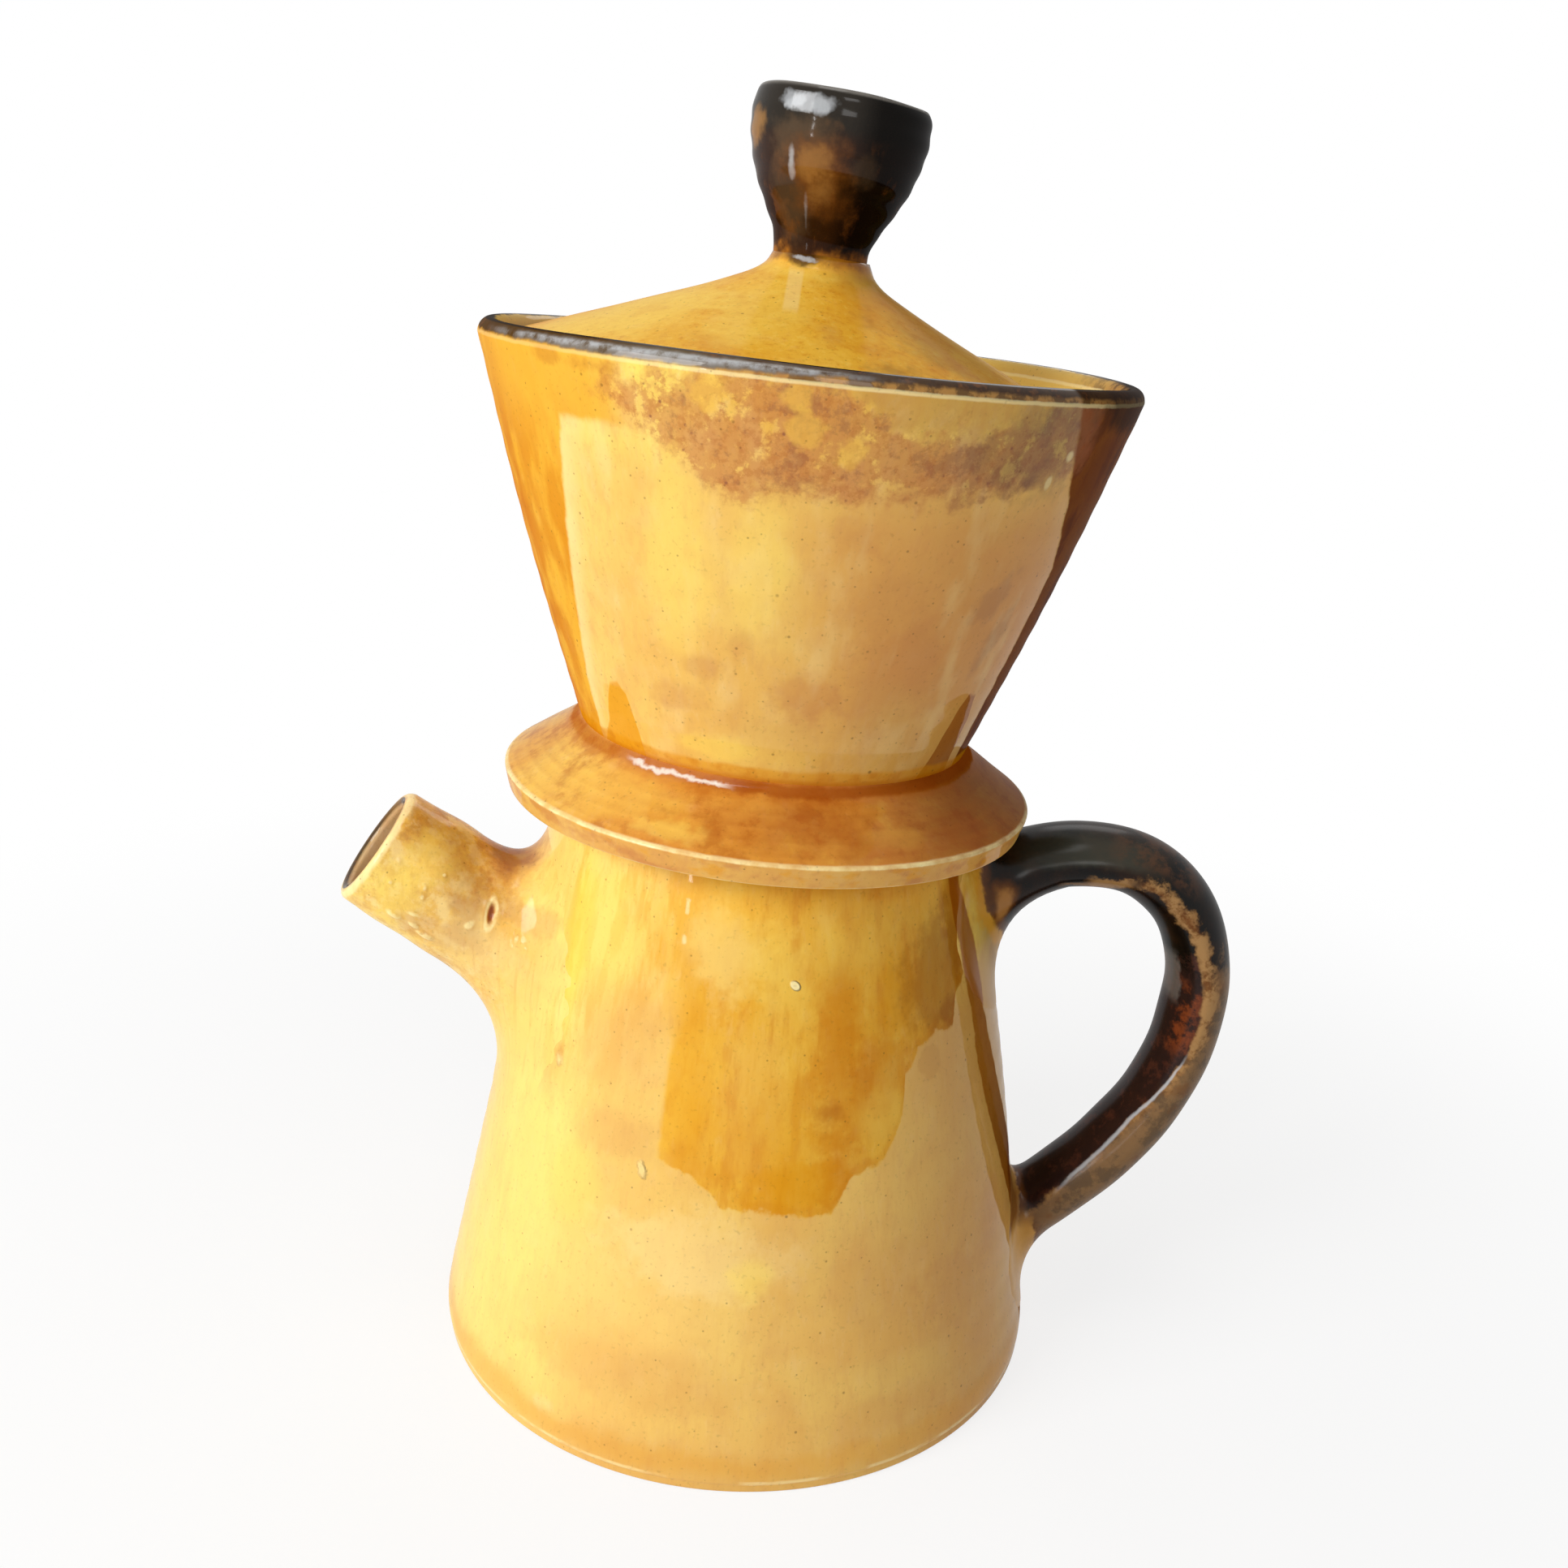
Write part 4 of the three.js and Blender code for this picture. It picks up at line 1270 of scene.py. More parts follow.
@dataclass
class Handle:
    """The pulled handle of oval section with soft ridges along its front and back."""

    wall: Wall
    thickness_above: float = 14.0
    thickness_below: float = 15.0
    width: float = 21.0
    reach: float = 110.15
    top_drop: float = 17.8
    bend_drop: float = 42.7
    foot_rise: float = 26.0
    top_angle: float = 25.0
    foot_angle: float = 38.0
    top_pull: float = 45.0
    bend_pull_up: float = 17.5
    bend_pull_down: float = 21.5
    foot_pull: float = 34.5
    ridge: float = 1.18
    sides: int = 96

    def __post_init__(self) -> None:
        """Draws the handle's middle line."""
        mean = (self.thickness_above + self.thickness_below) / 2
        turn = np.array([self.reach - mean / 2, self.wall.height - self.bend_drop])
        top, drawn_top = self._off_wall(self.wall.height - self.top_drop, self.top_angle, self.top_pull)
        foot, drawn_foot = self._off_wall(self.foot_rise, self.foot_angle, self.foot_pull)
        share = np.linspace(0, 1, 161)[:, None]
        upper = bent(share, top, drawn_top, turn + (0, self.bend_pull_up), turn)
        lower = bent(share, turn, turn - (0, self.bend_pull_down), drawn_foot, foot)
        self._path = np.concatenate([upper, lower[1:]])
        steps = np.linalg.norm(np.diff(self._path, axis=0), axis=1)
        self._lengths = np.concatenate([[0], np.cumsum(steps)])
        self.length = float(self._lengths[-1])

    def _off_wall(self, height: float, slope: float, distance: float) -> tuple[np.ndarray, np.ndarray]:
        """The place on the wall at a height, and the one at a distance out from it on a slope."""
        on_wall = np.array([self.wall.straight(height), height])
        direction = np.array([math.cos(math.radians(slope)), math.sin(math.radians(slope))])
        return on_wall, on_wall + direction * distance

    def _middle(self, length: float) -> tuple[np.ndarray, np.ndarray]:
        """The middle line's place and direction at a length; it runs on straight past each end."""
        near = 0.5
        held = min(max(length, near), self.length - near)
        before, after = (
            np.array([np.interp(held + step, self._lengths, self._path[:, axis]) for axis in (0, 1)])
            for step in (-near, near)
        )
        direction = (after - before) / np.linalg.norm(after - before)
        return (before + after) / 2 + direction * (length - held), direction

    def _line(self, turn: Optional[float], length: float) -> np.ndarray:
        """A point of the skin, turn counted from its upper side, or of the middle where turn is None."""
        (x, z), (dx, dz) = self._middle(length)
        if turn is None:
            return np.array([x, 0, z])
        share = min(max(length / self.length, 0), 1)
        half = (self.thickness_above + (self.thickness_below - self.thickness_above) * share) / 2
        rise = math.cos(turn)
        up = half * math.copysign(abs(rise) ** self.ridge, rise)
        across = self.width / 2 * math.sin(turn)
        swell = 1 + 0.008 * math.sin(length / 6.1 + 2 * turn) + 0.005 * math.sin(length / 2.7 - turn)
        inner = max(0.0, -rise) ** 2
        up -= inner * 0.12 * math.sin(length / 3.9) * math.sin(length / 11 + 1)
        return np.array([x - dz * up * swell, -across * swell, z + dx * up * swell])

    def _line_from_foot(self, turn: Optional[float], length: float) -> np.ndarray:
        """The same as _line, with the length counted from the lower end."""
        return self._line(turn, self.length - length)

    def build(self) -> bpy.types.Object:
        """Makes the handle, rounded into the wall at both ends."""
        top = Root(self.wall, above=8, below=22)
        foot = Root(self.wall, above=12, below=5)
        free = 2 * self.thickness_below
        upper = top.rings(self._line, self.sides, free)
        lower = foot.rings(self._line_from_foot, self.sides, free)
        turns = np.linspace(0, 2 * math.pi, self.sides, endpoint=False)
        starts = np.array([self._along(point) for point in upper[0]])
        ends = np.array([self._along(point) for point in lower[0]])
        columns = []
        for turn, start, end in zip(turns, starts, ends):
            columns.append([self._line(turn, length) for length in np.linspace(start, end, 130)[1:-1]])
        middle = np.array(columns).transpose(1, 0, 2)
        rings = np.concatenate([upper[::-1], middle, lower])
        first, last = (np.broadcast_to(ring.mean(axis=0), ring.shape)[None] for ring in (rings[0], rings[-1]))
        rings = np.concatenate([first, rings, last])
        marks = {
            "along": np.array([[self._along(point) for point in ring] for ring in rings]),
            "outer": np.broadcast_to(np.cos(turns), rings.shape[:2]),
        }
        return skin("handle_glazed", rings, marks=marks)

    def _along(self, place: np.ndarray) -> float:
        """The length along the middle line that is nearest to a place of the skin."""
        away = np.hypot(self._path[:, 0] - place[0], self._path[:, 1] - place[2])
        return float(self._lengths[np.argmin(away)])

    def recipe(self, surface: Surface) -> Glaze:
        """The handle's dark glaze, which breaks to tan along the ridges, with painted sheens and a painted
        highlight.

        Args:
            surface: places on the handle, in the pot's frame.

        Returns:
            The glaze.
        """
        dark = Honey(surface)
        dark.runs(0.26)
        paint_veil_and_shade(dark, surface)
        plain = dark.colour
        patches = surface.noise(12, 31, detail=4, rough=0.6)
        ragged = surface.noise(4.4, 32, detail=5, rough=0.68)
        share = (surface.mark("along") + dark.edge * 8) / self.length
        side = surface.mark("outer") + dark.fine_edge * 0.3 + dark.edge * 0.2
        off_wall = self.wall.clear_of(surface)
        dark.paint(1.0, Tone.BLACK)
        dark.paint(patches.step(0.42, 0.66) * 0.7, Tone.COFFEE)
        # Painted sheen: a grey-green reflection on the upper limb's front.
        dark.paint(share.within(0.07, 0.25, 0.08) * side.within(0.2, 0.9, 0.4) * 0.42, Tone.SLATE)
        russet = share.within(0.2, 0.32, 0.05) * side.step(0.3, 0.6) * ragged.step(0.4, 0.58)
        dark.paint(russet * 0.5, Tone.WALNUT)
        border = share.line(
            (0, -0.9), (0.12, -0.6), (0.2, -0.8), (0.25, -0.5), (0.273, -0.32),
            (0.325, -0.5), (0.39, -0.3), (0.446, -0.26), (0.505, -0.2), (0.56, -0.2),
            (0.61, -0.34), (0.72, -0.67), (0.87, -0.63), (0.92, -0.5), (1, -0.45),
        )
        from_border = side - border
        outside = from_border.step(-0.05, 0.08)
        lower = (share + (ragged - 0.5) * 0.16).step(0.41, 0.46)
        dark.paint(outside * lower * 0.85, Tone.DUN)
        dark.paint(outside * lower * ragged.step(0.54, 0.4) * 0.75, Tone.SMOKE)
        dark.paint(outside * lower * patches.step(0.5, 0.64) * 0.5, Tone.BURNT)
        dark.paint((1 - outside) * lower * 0.5, Tone.SOOT)
        dark.paint((1 - outside) * lower * ragged.step(0.5, 0.66) * 0.5, Tone.MAHOGANY)
        self._ridge(dark, share, from_border, surface.mark("outer") - border, ragged)
        warm = share.within(0.47, 0.58, 0.04) * side.within(-0.8, -0.25, 0.25) * ragged.step(0.42, 0.6)
        dark.paint(warm * 0.55, Tone.EMBER)
        # Painted sheen: a pale grey reflection along the inner edge.
        sheen = share.within(0.41, 0.5, 0.03) * side.step(-0.74, -0.84)
        dark.paint(sheen * 0.4, Tone.PEWTER)
        at_foot = (surface.height + dark.edge * 4).step(33, 27)
        dark.paint((off_wall + dark.edge * 5).step(8, 4) * at_foot * 0.8, Tone.BURNT)
        over_foot = surface.height.step(60, 50)
        dark.paint((off_wall + dark.fine_edge * 2).step(4.0, 2.4) * over_foot * 0.6, Tone.BURNT)
        at_root = (off_wall + dark.edge * 5 + dark.fine_edge * 3).step(5.0, 3.5) * at_foot
        at_root = at_root.at_least((off_wall + dark.edge * 2 + dark.fine_edge * 2).step(2.2, 1.2) * over_foot)
        dark.paint(at_root, plain)
        dark.paint(at_root * off_wall.step(0.6, 3.2) * 0.7, Tone.CARAMEL)
        slipped = surface.height.step(28, 32) * surface.angle.step(-1, -7)
        dark.paint(at_root * over_foot * slipped * 0.8, Tone.BROWN)
        self._bare_root(dark, surface, off_wall, plain)
        dark.relief = dark.relief + patches * 0.35 + ragged * 0.12
        gloss = 0.38 + off_wall.step(2.0, 0.6) * 0.12
        return Glaze(dark.colour, dark.relief, gloss, 0.3 + patches * 0.2, 0.2)

    @staticmethod
    def _ridge(dark: Honey, share: Shade, from_border: Shade, clear: Shade, ragged: Shade) -> None:
        """Lets the dark glaze break to tan along the ridge, and paints a highlight along the lower ridge.

        Args:
            dark: the glaze below it.
            share: how far along the handle a place is, from 0 to 1.
            from_border: how far out it is from the torn border of the handle's inner face.
            clear: the same from the border's smooth line.
            ragged: noise that tears the band.
        """
        wide = share.line(
            (0.16, 0.4), (0.2, 0.55), (0.25, 0.6), (0.273, 0.5), (0.33, 0.72), (0.39, 0.66), (0.45, 0.68),
            (0.5, 0.72), (0.56, 0.6), (0.61, 0.32), (0.68, 0.12), (0.9, 0.06), (1, 0),
        )
        torn = (ragged - 0.5) * 1.2 + dark.torn_edge * 0.3
        band = (wide - 0.08 - from_border + torn).step(-0.12, 0.2)
        band = band * (from_border + torn * 0.3).step(-0.04, 0.12)
        band = band * share.step(0.15, 0.18) * (1 - share.within(0.232, 0.25, 0.02) * 0.8)
        dark.paint(band * 0.75, Tone.BURNT)
        dark.paint(band * ragged.step(0.36, 0.54) * 0.75, Tone.WHEAT)
        dark.paint(band * dark.torn_edge.step(0.1, 0.36) * 0.7, Tone.BURNT)
        gold = share.within(0.12, 0.2, 0.02) * abs(from_border).step(0.14, 0.04)
        dark.paint(gold * ragged.step(0.3, 0.45) * 0.5, Tone.OCHRE)
        # Painted highlight: a thin silver line along the lower limb's ridge.
        lit = share.within(0.6, 0.89, 0.06) * abs(clear + dark.fine_edge * 0.05 - 0.02).step(0.06, 0.01)
        dark.paint(lit * 0.75, Tone.SILVER)

    @staticmethod
    def _bare_root(dark: Honey, surface: Surface, off_wall: Shade, plain: Shade) -> None:
        """Leaves the honey glaze bare on the underside of the upper root, with the streak that crosses it.

        Args:
            dark: the glaze on the handle.
            surface: places on the handle, in the pot's frame.
            off_wall: how far a place stands off the pot's taper.
            plain: the honey glaze's colour.
        """
        upper = surface.height.step(60, 68)
        edge = off_wall + dark.edge * 3 + dark.fine_edge * 1.5 - (117 - surface.height) * 0.17
        dark.paint(edge.step(4.5, 1.8) * upper * 0.75, Tone.BURNT)
        bare = edge.step(2.0, 1.2) * upper
        dark.paint(bare, plain)
        dark.paint(bare * off_wall.step(0.3, 2.2) * surface.angle.step(-4, -14) * 0.6, Tone.OLIVE)
        dark.paint(edge.within(0.2, 1.8, 1.0) * upper * 0.6, Tone.AMBER)
        left, right = streak_sides(surface)
        slipped = surface.angle + dark.fine_edge * 1.5
        streak = bare * slipped.within(left, right, 1.0)
        streaked(dark, streak)
        drip = surface.near(-13.5, 112, 2.2, 4.5, 55) + dark.torn_edge * 0.7
        dark.paint(drip.step(1.5, 0.9) * 0.7, Tone.BURNT)
        dark.paint(drip.step(1.1, 0.5) * 0.6, Tone.TAN)


PANEL_CLOUDS = (
    Patch(-112, 56, 6, 18, Tone.STRAW, 0.4),
    Patch(-96, 60, 5, 16, Tone.STRAW, 0.35),
    Patch(-116, 29, 5, 4, Tone.MAUVE, 0.3, torn=2.2, soft=1.2),
    Patch(-108, 38, 4.5, 2.2, Tone.MAUVE, 0.3, torn=2.4, soft=1.2),
    Patch(-99, 43, 3.4, 3.4, Tone.MAUVE, 0.22, torn=2.4, soft=1.2),
    Patch(-84, 34, 5.5, 4.5, Tone.MAUVE, 0.34, torn=2.2, soft=1.2),
    Patch(-90, 27, 8, 4, Tone.MAUVE, 0.16, torn=2.0, soft=1.2),
    Patch(-74, 53, 8, 7, Tone.TAN, 0.45, torn=2.0, soft=1.2),
    Patch(-80, 68, 5, 5, Tone.MAUVE, 0.16, torn=2.0, soft=1.2),
    Patch(-66, 40, 8, 12, Tone.MAUVE, 0.2, torn=2.0, soft=1.2),
    Patch(-48, 55, 2.6, 6, Tone.PLUM, 0.28, torn=2.2, soft=1.2, lean=35),
    Patch(-46.5, 57.5, 0.5, 0.6, Tone.SPECK, 0.8, torn=0.3),
    Patch(-42, 45, 2, 6, Tone.PLUM, 0.28, torn=2.2, soft=1.2, lean=15),
    Patch(-106, 21, 8, 2.6, Tone.STRAW, 0.5, torn=1.2),
)
RIM_CLOUDS = (
    Patch(-134, 91, 3, 1.2, Tone.RUST, 0.3, torn=2.2, soft=1.2),
    Patch(-124.5, 90.5, 6, 1.6, Tone.RUST, 0.4, torn=2.2, soft=1.2),
    Patch(-24, 90, 7, 3, Tone.BROWN, 0.5, torn=1.3),
    Patch(-30, 80, 5, 8, Tone.BROWN, 0.5, torn=1.3),
)
SAUCER_CLOUDS = (
    Patch(-82, 8.5, 11, 3.2, Tone.RUST, 0.5, torn=1.6, soft=1.4),
    Patch(-68, 5.5, 12, 2, Tone.RUST, 0.35, torn=1.8, soft=1.4),
    Patch(-126, 8, 13, 3, Tone.HONEY, 0.45, torn=1.2),
    Patch(-112, 5.5, 7, 1.4, Tone.STRAW, 0.4, torn=1.5),
    Patch(-44, 6, 9, 3, Tone.RUST, 0.3, torn=1.3),
    Patch(-60, 7, 7, 2, Tone.HONEY, 0.25, torn=1.4),
)


@dataclass
class Filter:
    """The drip cone with its saucer and the ring that keeps it in the pot's mouth."""

    wall: Wall
    lean: float = 2.45
    off_centre: float = 0.1
    seat_gap: float = 0.3
    saucer_radius: float = 58.0
    saucer_edge: float = 4.8
    saucer_droop: float = 1.5
    saucer_rise: float = 10.7
    root_radius: float = 42.1
    rim_radius: float = 67.8
    cone_height: float = 78.3
    lip: float = 2.8
    lip_bevel: float = 2.1
    swell: float = 0.7
    thickness: float = 5.0
    underside: float = 0.3
    floor: float = 5.0
    ring_depth: float = 10.0
    ring_wall: float = 4.0
    ring_clearance: float = 0.8
    drain_radius: float = 3.0
    drain_circle: float = 14.0
    drain_start: float = -2.0
    drain_length: float = 10.0
    drains: int = 3

    def __post_init__(self) -> None:
        """Works out the filter's frame and its heights above its seat."""
        self.seat = (
            Matrix.Translation((0, 0, self.wall.height))
            @ Matrix.Rotation(math.radians(self.lean), 4, "Y")
            @ Matrix.Translation((-self.off_centre, 0, self.seat_gap))
        )
        self.saucer_top = self.saucer_edge - self.saucer_droop
        self.root = self.saucer_top + self.saucer_rise
        self.rim = self.root + self.cone_height
        self.crest = self.rim + self.lip
        self.spread = (self.rim_radius - self.root_radius) / self.cone_height
        self.inset = self.thickness * math.hypot(1, self.spread)

    def outer(self, height: Number) -> Number:
        """The cone's outer radius at a height, without its swell."""
        return (height - self.root) * self.spread + self.root_radius

    def build_cone(self) -> bpy.types.Object:
        """Makes the cone with its rim, floor and drain holes."""
        middle = (self.root + self.rim) / 2
        inner_crest = self.crest - 0.7
        corners = [
            Corner(0, self.underside),
            Corner(self.outer(self.underside) - 0.5, self.underside, 1),
            Corner(self.root_radius, self.root, 1),
            Corner(self.outer(middle) + 2 * self.swell, middle, self.cone_height * 0.4),
            Corner(self.rim_radius, self.rim, 0.5),
            Corner(self.rim_radius - 0.5, self.rim + self.lip * 0.6, 1.0),
            Corner(self.rim_radius - self.lip_bevel, self.crest, 1.2),
            Corner(self.outer(inner_crest) - self.inset, inner_crest, 1.6),
            Corner(self.outer(self.floor) - self.inset, self.floor, 7),
            Corner(0, self.floor),
        ]
        hand = Hand(seed=2, out_of_round=0.12, wave=0.3)
        made = skin("filter_cone_glazed", turned(outline(corners), hand, edge=(60, self.rim)), seat=self.seat)
        bores = []
        below = Matrix.Translation((self.drain_circle, 0, self.drain_start))
        for hole in range(self.drains):
            turn = Matrix.Rotation(2 * math.pi * hole / self.drains, 4, "Z")
            bores.append((self.seat @ turn @ below, self.drain_radius, self.drain_length))
        drill(made, bores, sides=32)
        made.data.shade_smooth()
        return made

    def build_saucer(self) -> bpy.types.Object:
        """Makes the saucer: a sloping skirt with a crisp edge, and a roll of glaze against the cone."""
        corners = [
            Corner(self.outer(0) - 0.4, 0),
            Corner(self.wall.mouth_radius + 1.5, 0, 0.5),
            Corner(self.saucer_radius - 1.3, -self.saucer_droop, 0.7),
            Corner(self.saucer_radius, self.saucer_top - 0.2, 0.55),
            Corner(self.saucer_radius - 0.8, self.saucer_top + 0.35, 0.5),
            Corner(self.root_radius + 3.0, self.root - 2.1, 2.4),
            Corner(self.root_radius - 0.2, self.root + 1.2, 0.5),
            Corner(self.root_radius - 1.5, self.root),
        ]
        rings = turned(outline(corners, spacing=1.0, closed=True), Hand(seed=3, out_of_round=0.12))
        return skin("filter_saucer_glazed", rings, closed=True, seat=self.seat)

    def build_ring(self) -> bpy.types.Object:
        """Makes the locating ring below the saucer."""
        outside = self.wall.mouth_radius - self.wall.inset - self.ring_clearance
        inside = outside - self.ring_wall
        corners = [
            Corner(inside, -self.ring_depth, 1.2),
            Corner(outside, -self.ring_depth, 1.6),
            Corner(outside, -0.1),
            Corner(inside, -0.1),
        ]
        hand = Hand(seed=4, out_of_round=0.1)
        rings = turned(outline(corners, spacing=1.0, closed=True), hand, sides=160)
        return skin("filter_locating_ring_glazed", rings, closed=True, seat=self.seat)

    def cone_recipe(self, surface: Surface) -> Glaze:
        """The cone's glaze, with a painted reflection on its front and painted shade on its right flank.

        Args:
            surface: places on the cone.

        Returns:
            The glaze.
        """
        honey = Honey(surface)
        up = surface.height
        honey.runs(0.16)
        turn = surface.angle + honey.fine_edge * 1.6
        # Painted reflection: the pale front panel with crisp borders mirrors a pale floor; outside it the
        # cone is painted deeper amber, and its flanks darker as mirroring darker surroundings.
        left = up.line((8, -145), (27, -145), (38, -142), (52, -139), (68, -136), (80.5, -133.7), (95, -132))
        right = up.line((8, -27), (27, -29), (60, -30), (67, -34), (74, -37.3), (83, -41.7), (95, -46))
        panel = turn.within(left, right, 1.4)
        left_top = (up + honey.fine_edge * 2).step(80, 82) * (turn + honey.edge * 10).step(-114, -126)
        panel = panel * (1 - left_top)
        flank = (1 - panel) * (surface.y / surface.radius).step(0.5, -0.1)
        honey.gloss = 0.5 - flank * 0.44
        honey.paint((1 - panel) * 0.72, Tone.AMBER)
        flank_mottle = surface.noise(7, 43, detail=4, tall=3)
        honey.paint(flank * surface.angle.step(-148, -158) * flank_mottle.step(0.3, 0.6) * 0.55, Tone.DEEP)
        honey.paint(flank * flank_mottle.step(0.4, 0.62) * up.step(92, 70) * 0.5, Tone.DEEP)
        # Painted shade: the right flank is painted dark brown.
        shaded = surface.angle.step(-60, -42) * flank
        honey.paint(shaded * 0.92, Tone.TOFFEE)
        honey.paint(shaded * flank_mottle.step(0.5, 0.62) * 0.5, Tone.TREACLE)
        honey.paint(flank * up.step(68, 88) * surface.angle.step(-110, -122) * 0.35, Tone.HONEY)
        honey.paint(panel * up.step(88, 72) * 0.5, Tone.VEIL)
        honey.paint(panel * (turn - left).step(6, 0.4) * up.step(84, 78) * 0.5, Tone.CREAM)
        honey.paint(panel * (right - turn).step(6, 1) * up.step(80, 70) * 0.4, Tone.CREAM)
        honey.paint(panel * surface.angle.step(-102, -64) * up.step(84, 62) * up.step(16, 34) * 0.3, Tone.TAN)
        honey.paint(panel * surface.angle.step(-78, -42) * up.step(76, 60) * 0.5, Tone.TAN)
        warm = surface.angle.step(-92, -70) * up.step(94, 66) * up.step(22, 44)
        honey.paint(panel * warm * 0.44, Tone.PEACH)
        honey.paint(panel * surface.noise(8, 44, detail=4, tall=4).step(0.5, 0.72) * 0.35, Tone.CREAM)
        honey.patches(50, *PANEL_CLOUDS, where=panel)
        self._fingers(honey, surface)
        self._scorch(honey, surface)
        honey.patches(65, *RIM_CLOUDS)
        foot = (up + honey.edge * 2.5).within(12, 17.4, 1.2)
        honey.paint(foot * 0.6, Tone.AMBER)
        honey.paint(foot * honey.fine_edge.step(-0.1, 0.2) * 0.4, Tone.DEEP)
        honey.paint((up + honey.fine_edge * 1.5).step(16, 14.8) * 0.5, Tone.DEEP)
        inside = (self.outer(up) - surface.radius).step(3.4, 4.2)
        honey.paint(inside * 0.7, Tone.STRAW)
        self._rim(honey, surface)
        honey.speckle(0.7)
        return honey.glaze()

    @staticmethod
    def _fingers(honey: Honey, surface: Surface) -> None:
        """Lays the two fingers of amber that stand up from the cone's foot at the panel's corners.

        Args:
            honey: the glaze below them.
            surface: places on the cone.
        """
        level = surface.height + honey.fine_edge * 1.5
        top = surface.angle.line(
            (-144, 14), (-139, 20), (-136.5, 26), (-134.5, 29),
            (-131.6, 29.8), (-129.4, 28), (-128, 23), (-126, 14),
        )
        honey.paint((level - top).step(0.5, -0.5) * surface.angle.within(-144, -126, 1) * 0.8, Tone.AMBER)
        top = surface.angle.line(
            (-48, 12), (-44, 19), (-42, 30), (-40.5, 34), (-37.5, 33.5), (-35, 28), (-32, 12),
        )
        honey.paint((level - top).step(0.5, -0.5) * surface.angle.within(-48, -32, 1) * 0.8, Tone.RUSSET)

    @staticmethod
    def _scorch(honey: Honey, surface: Surface) -> None:
        """Lays the mottled plum-brown band below the rim, mostly at the front right.

        Args:
            honey: the glaze below it.
            surface: places on the cone.
        """
        torn = honey.edge * 9 + surface.noise(4.0, 49, detail=5, rough=0.66) * 13 - 6.5
        level = surface.height + torn
        lowest = surface.angle.line(
            (-126, 87), (-117, 81), (-109, 75), (-101.5, 69.5), (-96, 72),
            (-78, 74), (-62, 74.5), (-52, 77), (-36, 80),
        )
        highest = surface.angle.line(
            (-126, 88), (-117, 90), (-105, 93), (-92, 94), (-84, 91),
            (-78, 87), (-66, 87), (-56, 89), (-46, 94), (-36, 95),
        )
        band = (level - lowest).step(-2.4, 3.6) * (highest - level).step(-3.0, 3.0)
        band = band * (surface.angle + honey.edge * 14).within(-126, -38, 4)
        motley = surface.noise(6.5, 45, detail=6, rough=0.7)
        fine = surface.noise(1.9, 50, detail=4, rough=0.66)
        kept = band * (1 - motley.step(0.53, 0.62) * (fine.step(0.3, 0.5) * 0.4 + 0.4))
        honey.paint(kept * 0.62, Tone.MAUVE)
        honey.paint(kept * fine.step(0.46, 0.62) * 0.3, Tone.RUST)
        honey.paint(kept * motley.step(0.48, 0.38) * 0.4, Tone.PLUM)
        right = (surface.angle + honey.edge * 10).step(-72, -52)
        honey.paint(kept * right * 0.25, Tone.PLUM)
        above = (level - highest).step(-1.5, 2.5) * (surface.angle + honey.edge * 20).within(-86, -38, 12)
        honey.paint(above * 0.65, Tone.GINGER)
        honey.paint(band * right * honey.edge.step(-0.1, 0.1) * 0.5, Tone.SMOKE)
        smoky = surface.near(-50, 86, 9, 8, 64) + honey.torn_edge * 1.8
        honey.paint(smoky.step(1.6, 0.6) * 0.4, Tone.HAZE)
        dots = surface.spots(1.9, 0.42, 0.6, 47) * band
        honey.paint(dots * fine.step(0.4, 0.6) * 0.75, Tone.PLUM)
        for turn, height, size in ((-105.5, 89, 3.0), (-91, 84.5, 2.6), (-83.5, 81.2, 2.4), (-92.5, 90, 2.2)):
            hole = surface.near(turn, height, size, size, 65) + honey.torn_edge * 2.4
            honey.paint(hole.step(1.3, 0.6) * 0.55, Tone.HONEY)
        honey.paint(surface.near(-43, 83, 1.0, 1.0, 64).step(1.4, 0.7) * 0.6, Tone.PALE_BREAK)
        honey.paint(surface.near(-46, 78, 0.8, 1.2, 63).step(1.4, 0.7) * 0.5, Tone.PALE_BREAK)

    def _rim(self, honey: Honey, surface: Surface) -> None:
        """Lays the dark glaze on the rim's bevel with a painted sheen and a painted shadow line, ochre below
        it, and the pale line on its edge.

        Args:
            honey: the glaze below it.
            surface: places on the cone.
        """
        up = surface.height
        inward = self.outer(up) - surface.radius
        on_bevel = (up + honey.fine_edge * 0.25).step(self.rim - 0.1, self.rim + 0.25)
        right = (surface.angle + honey.edge * 20).within(-98, 12, 26)
        honey.paint(on_bevel * (right * 0.6 + 0.3), Tone.OCHRE)
        blotched = surface.noise(4.5, 48, detail=5, rough=0.65)
        honey.paint(on_bevel * right * blotched.step(0.46, 0.58) * 0.7, Tone.COFFEE)
        dark = (up + honey.fine_edge * 1.4 + honey.edge - right * 0.7).step(self.rim + 0.1, self.rim + 0.9)
        dark = dark * (inward + honey.fine_edge * 2.4 + honey.edge * 2).step(4.6, 3.6)
        honey.paint(dark * 0.92, Tone.COFFEE)
        honey.paint(dark * blotched.step(0.55, 0.68) * 0.7, Tone.BURNT)
        # Painted sheen: the grey-silver reflection of the sky on the bevel, with a paler painted highlight in
        # it.
        reach = (surface.angle + honey.edge * 24).within(-146, -86, 24)
        sheen = dark * (inward + honey.fine_edge * 1.2).step(2.3, 1.3) * reach * blotched.step(0.26, 0.5)
        honey.paint(sheen * 0.62, Tone.PEWTER)
        painted_rim_glint = (inward + honey.fine_edge * 0.6).within(0.7, 1.5, 0.6) * blotched.step(0.36, 0.6)
        honey.paint(sheen * painted_rim_glint * 0.5, Tone.SILVER)
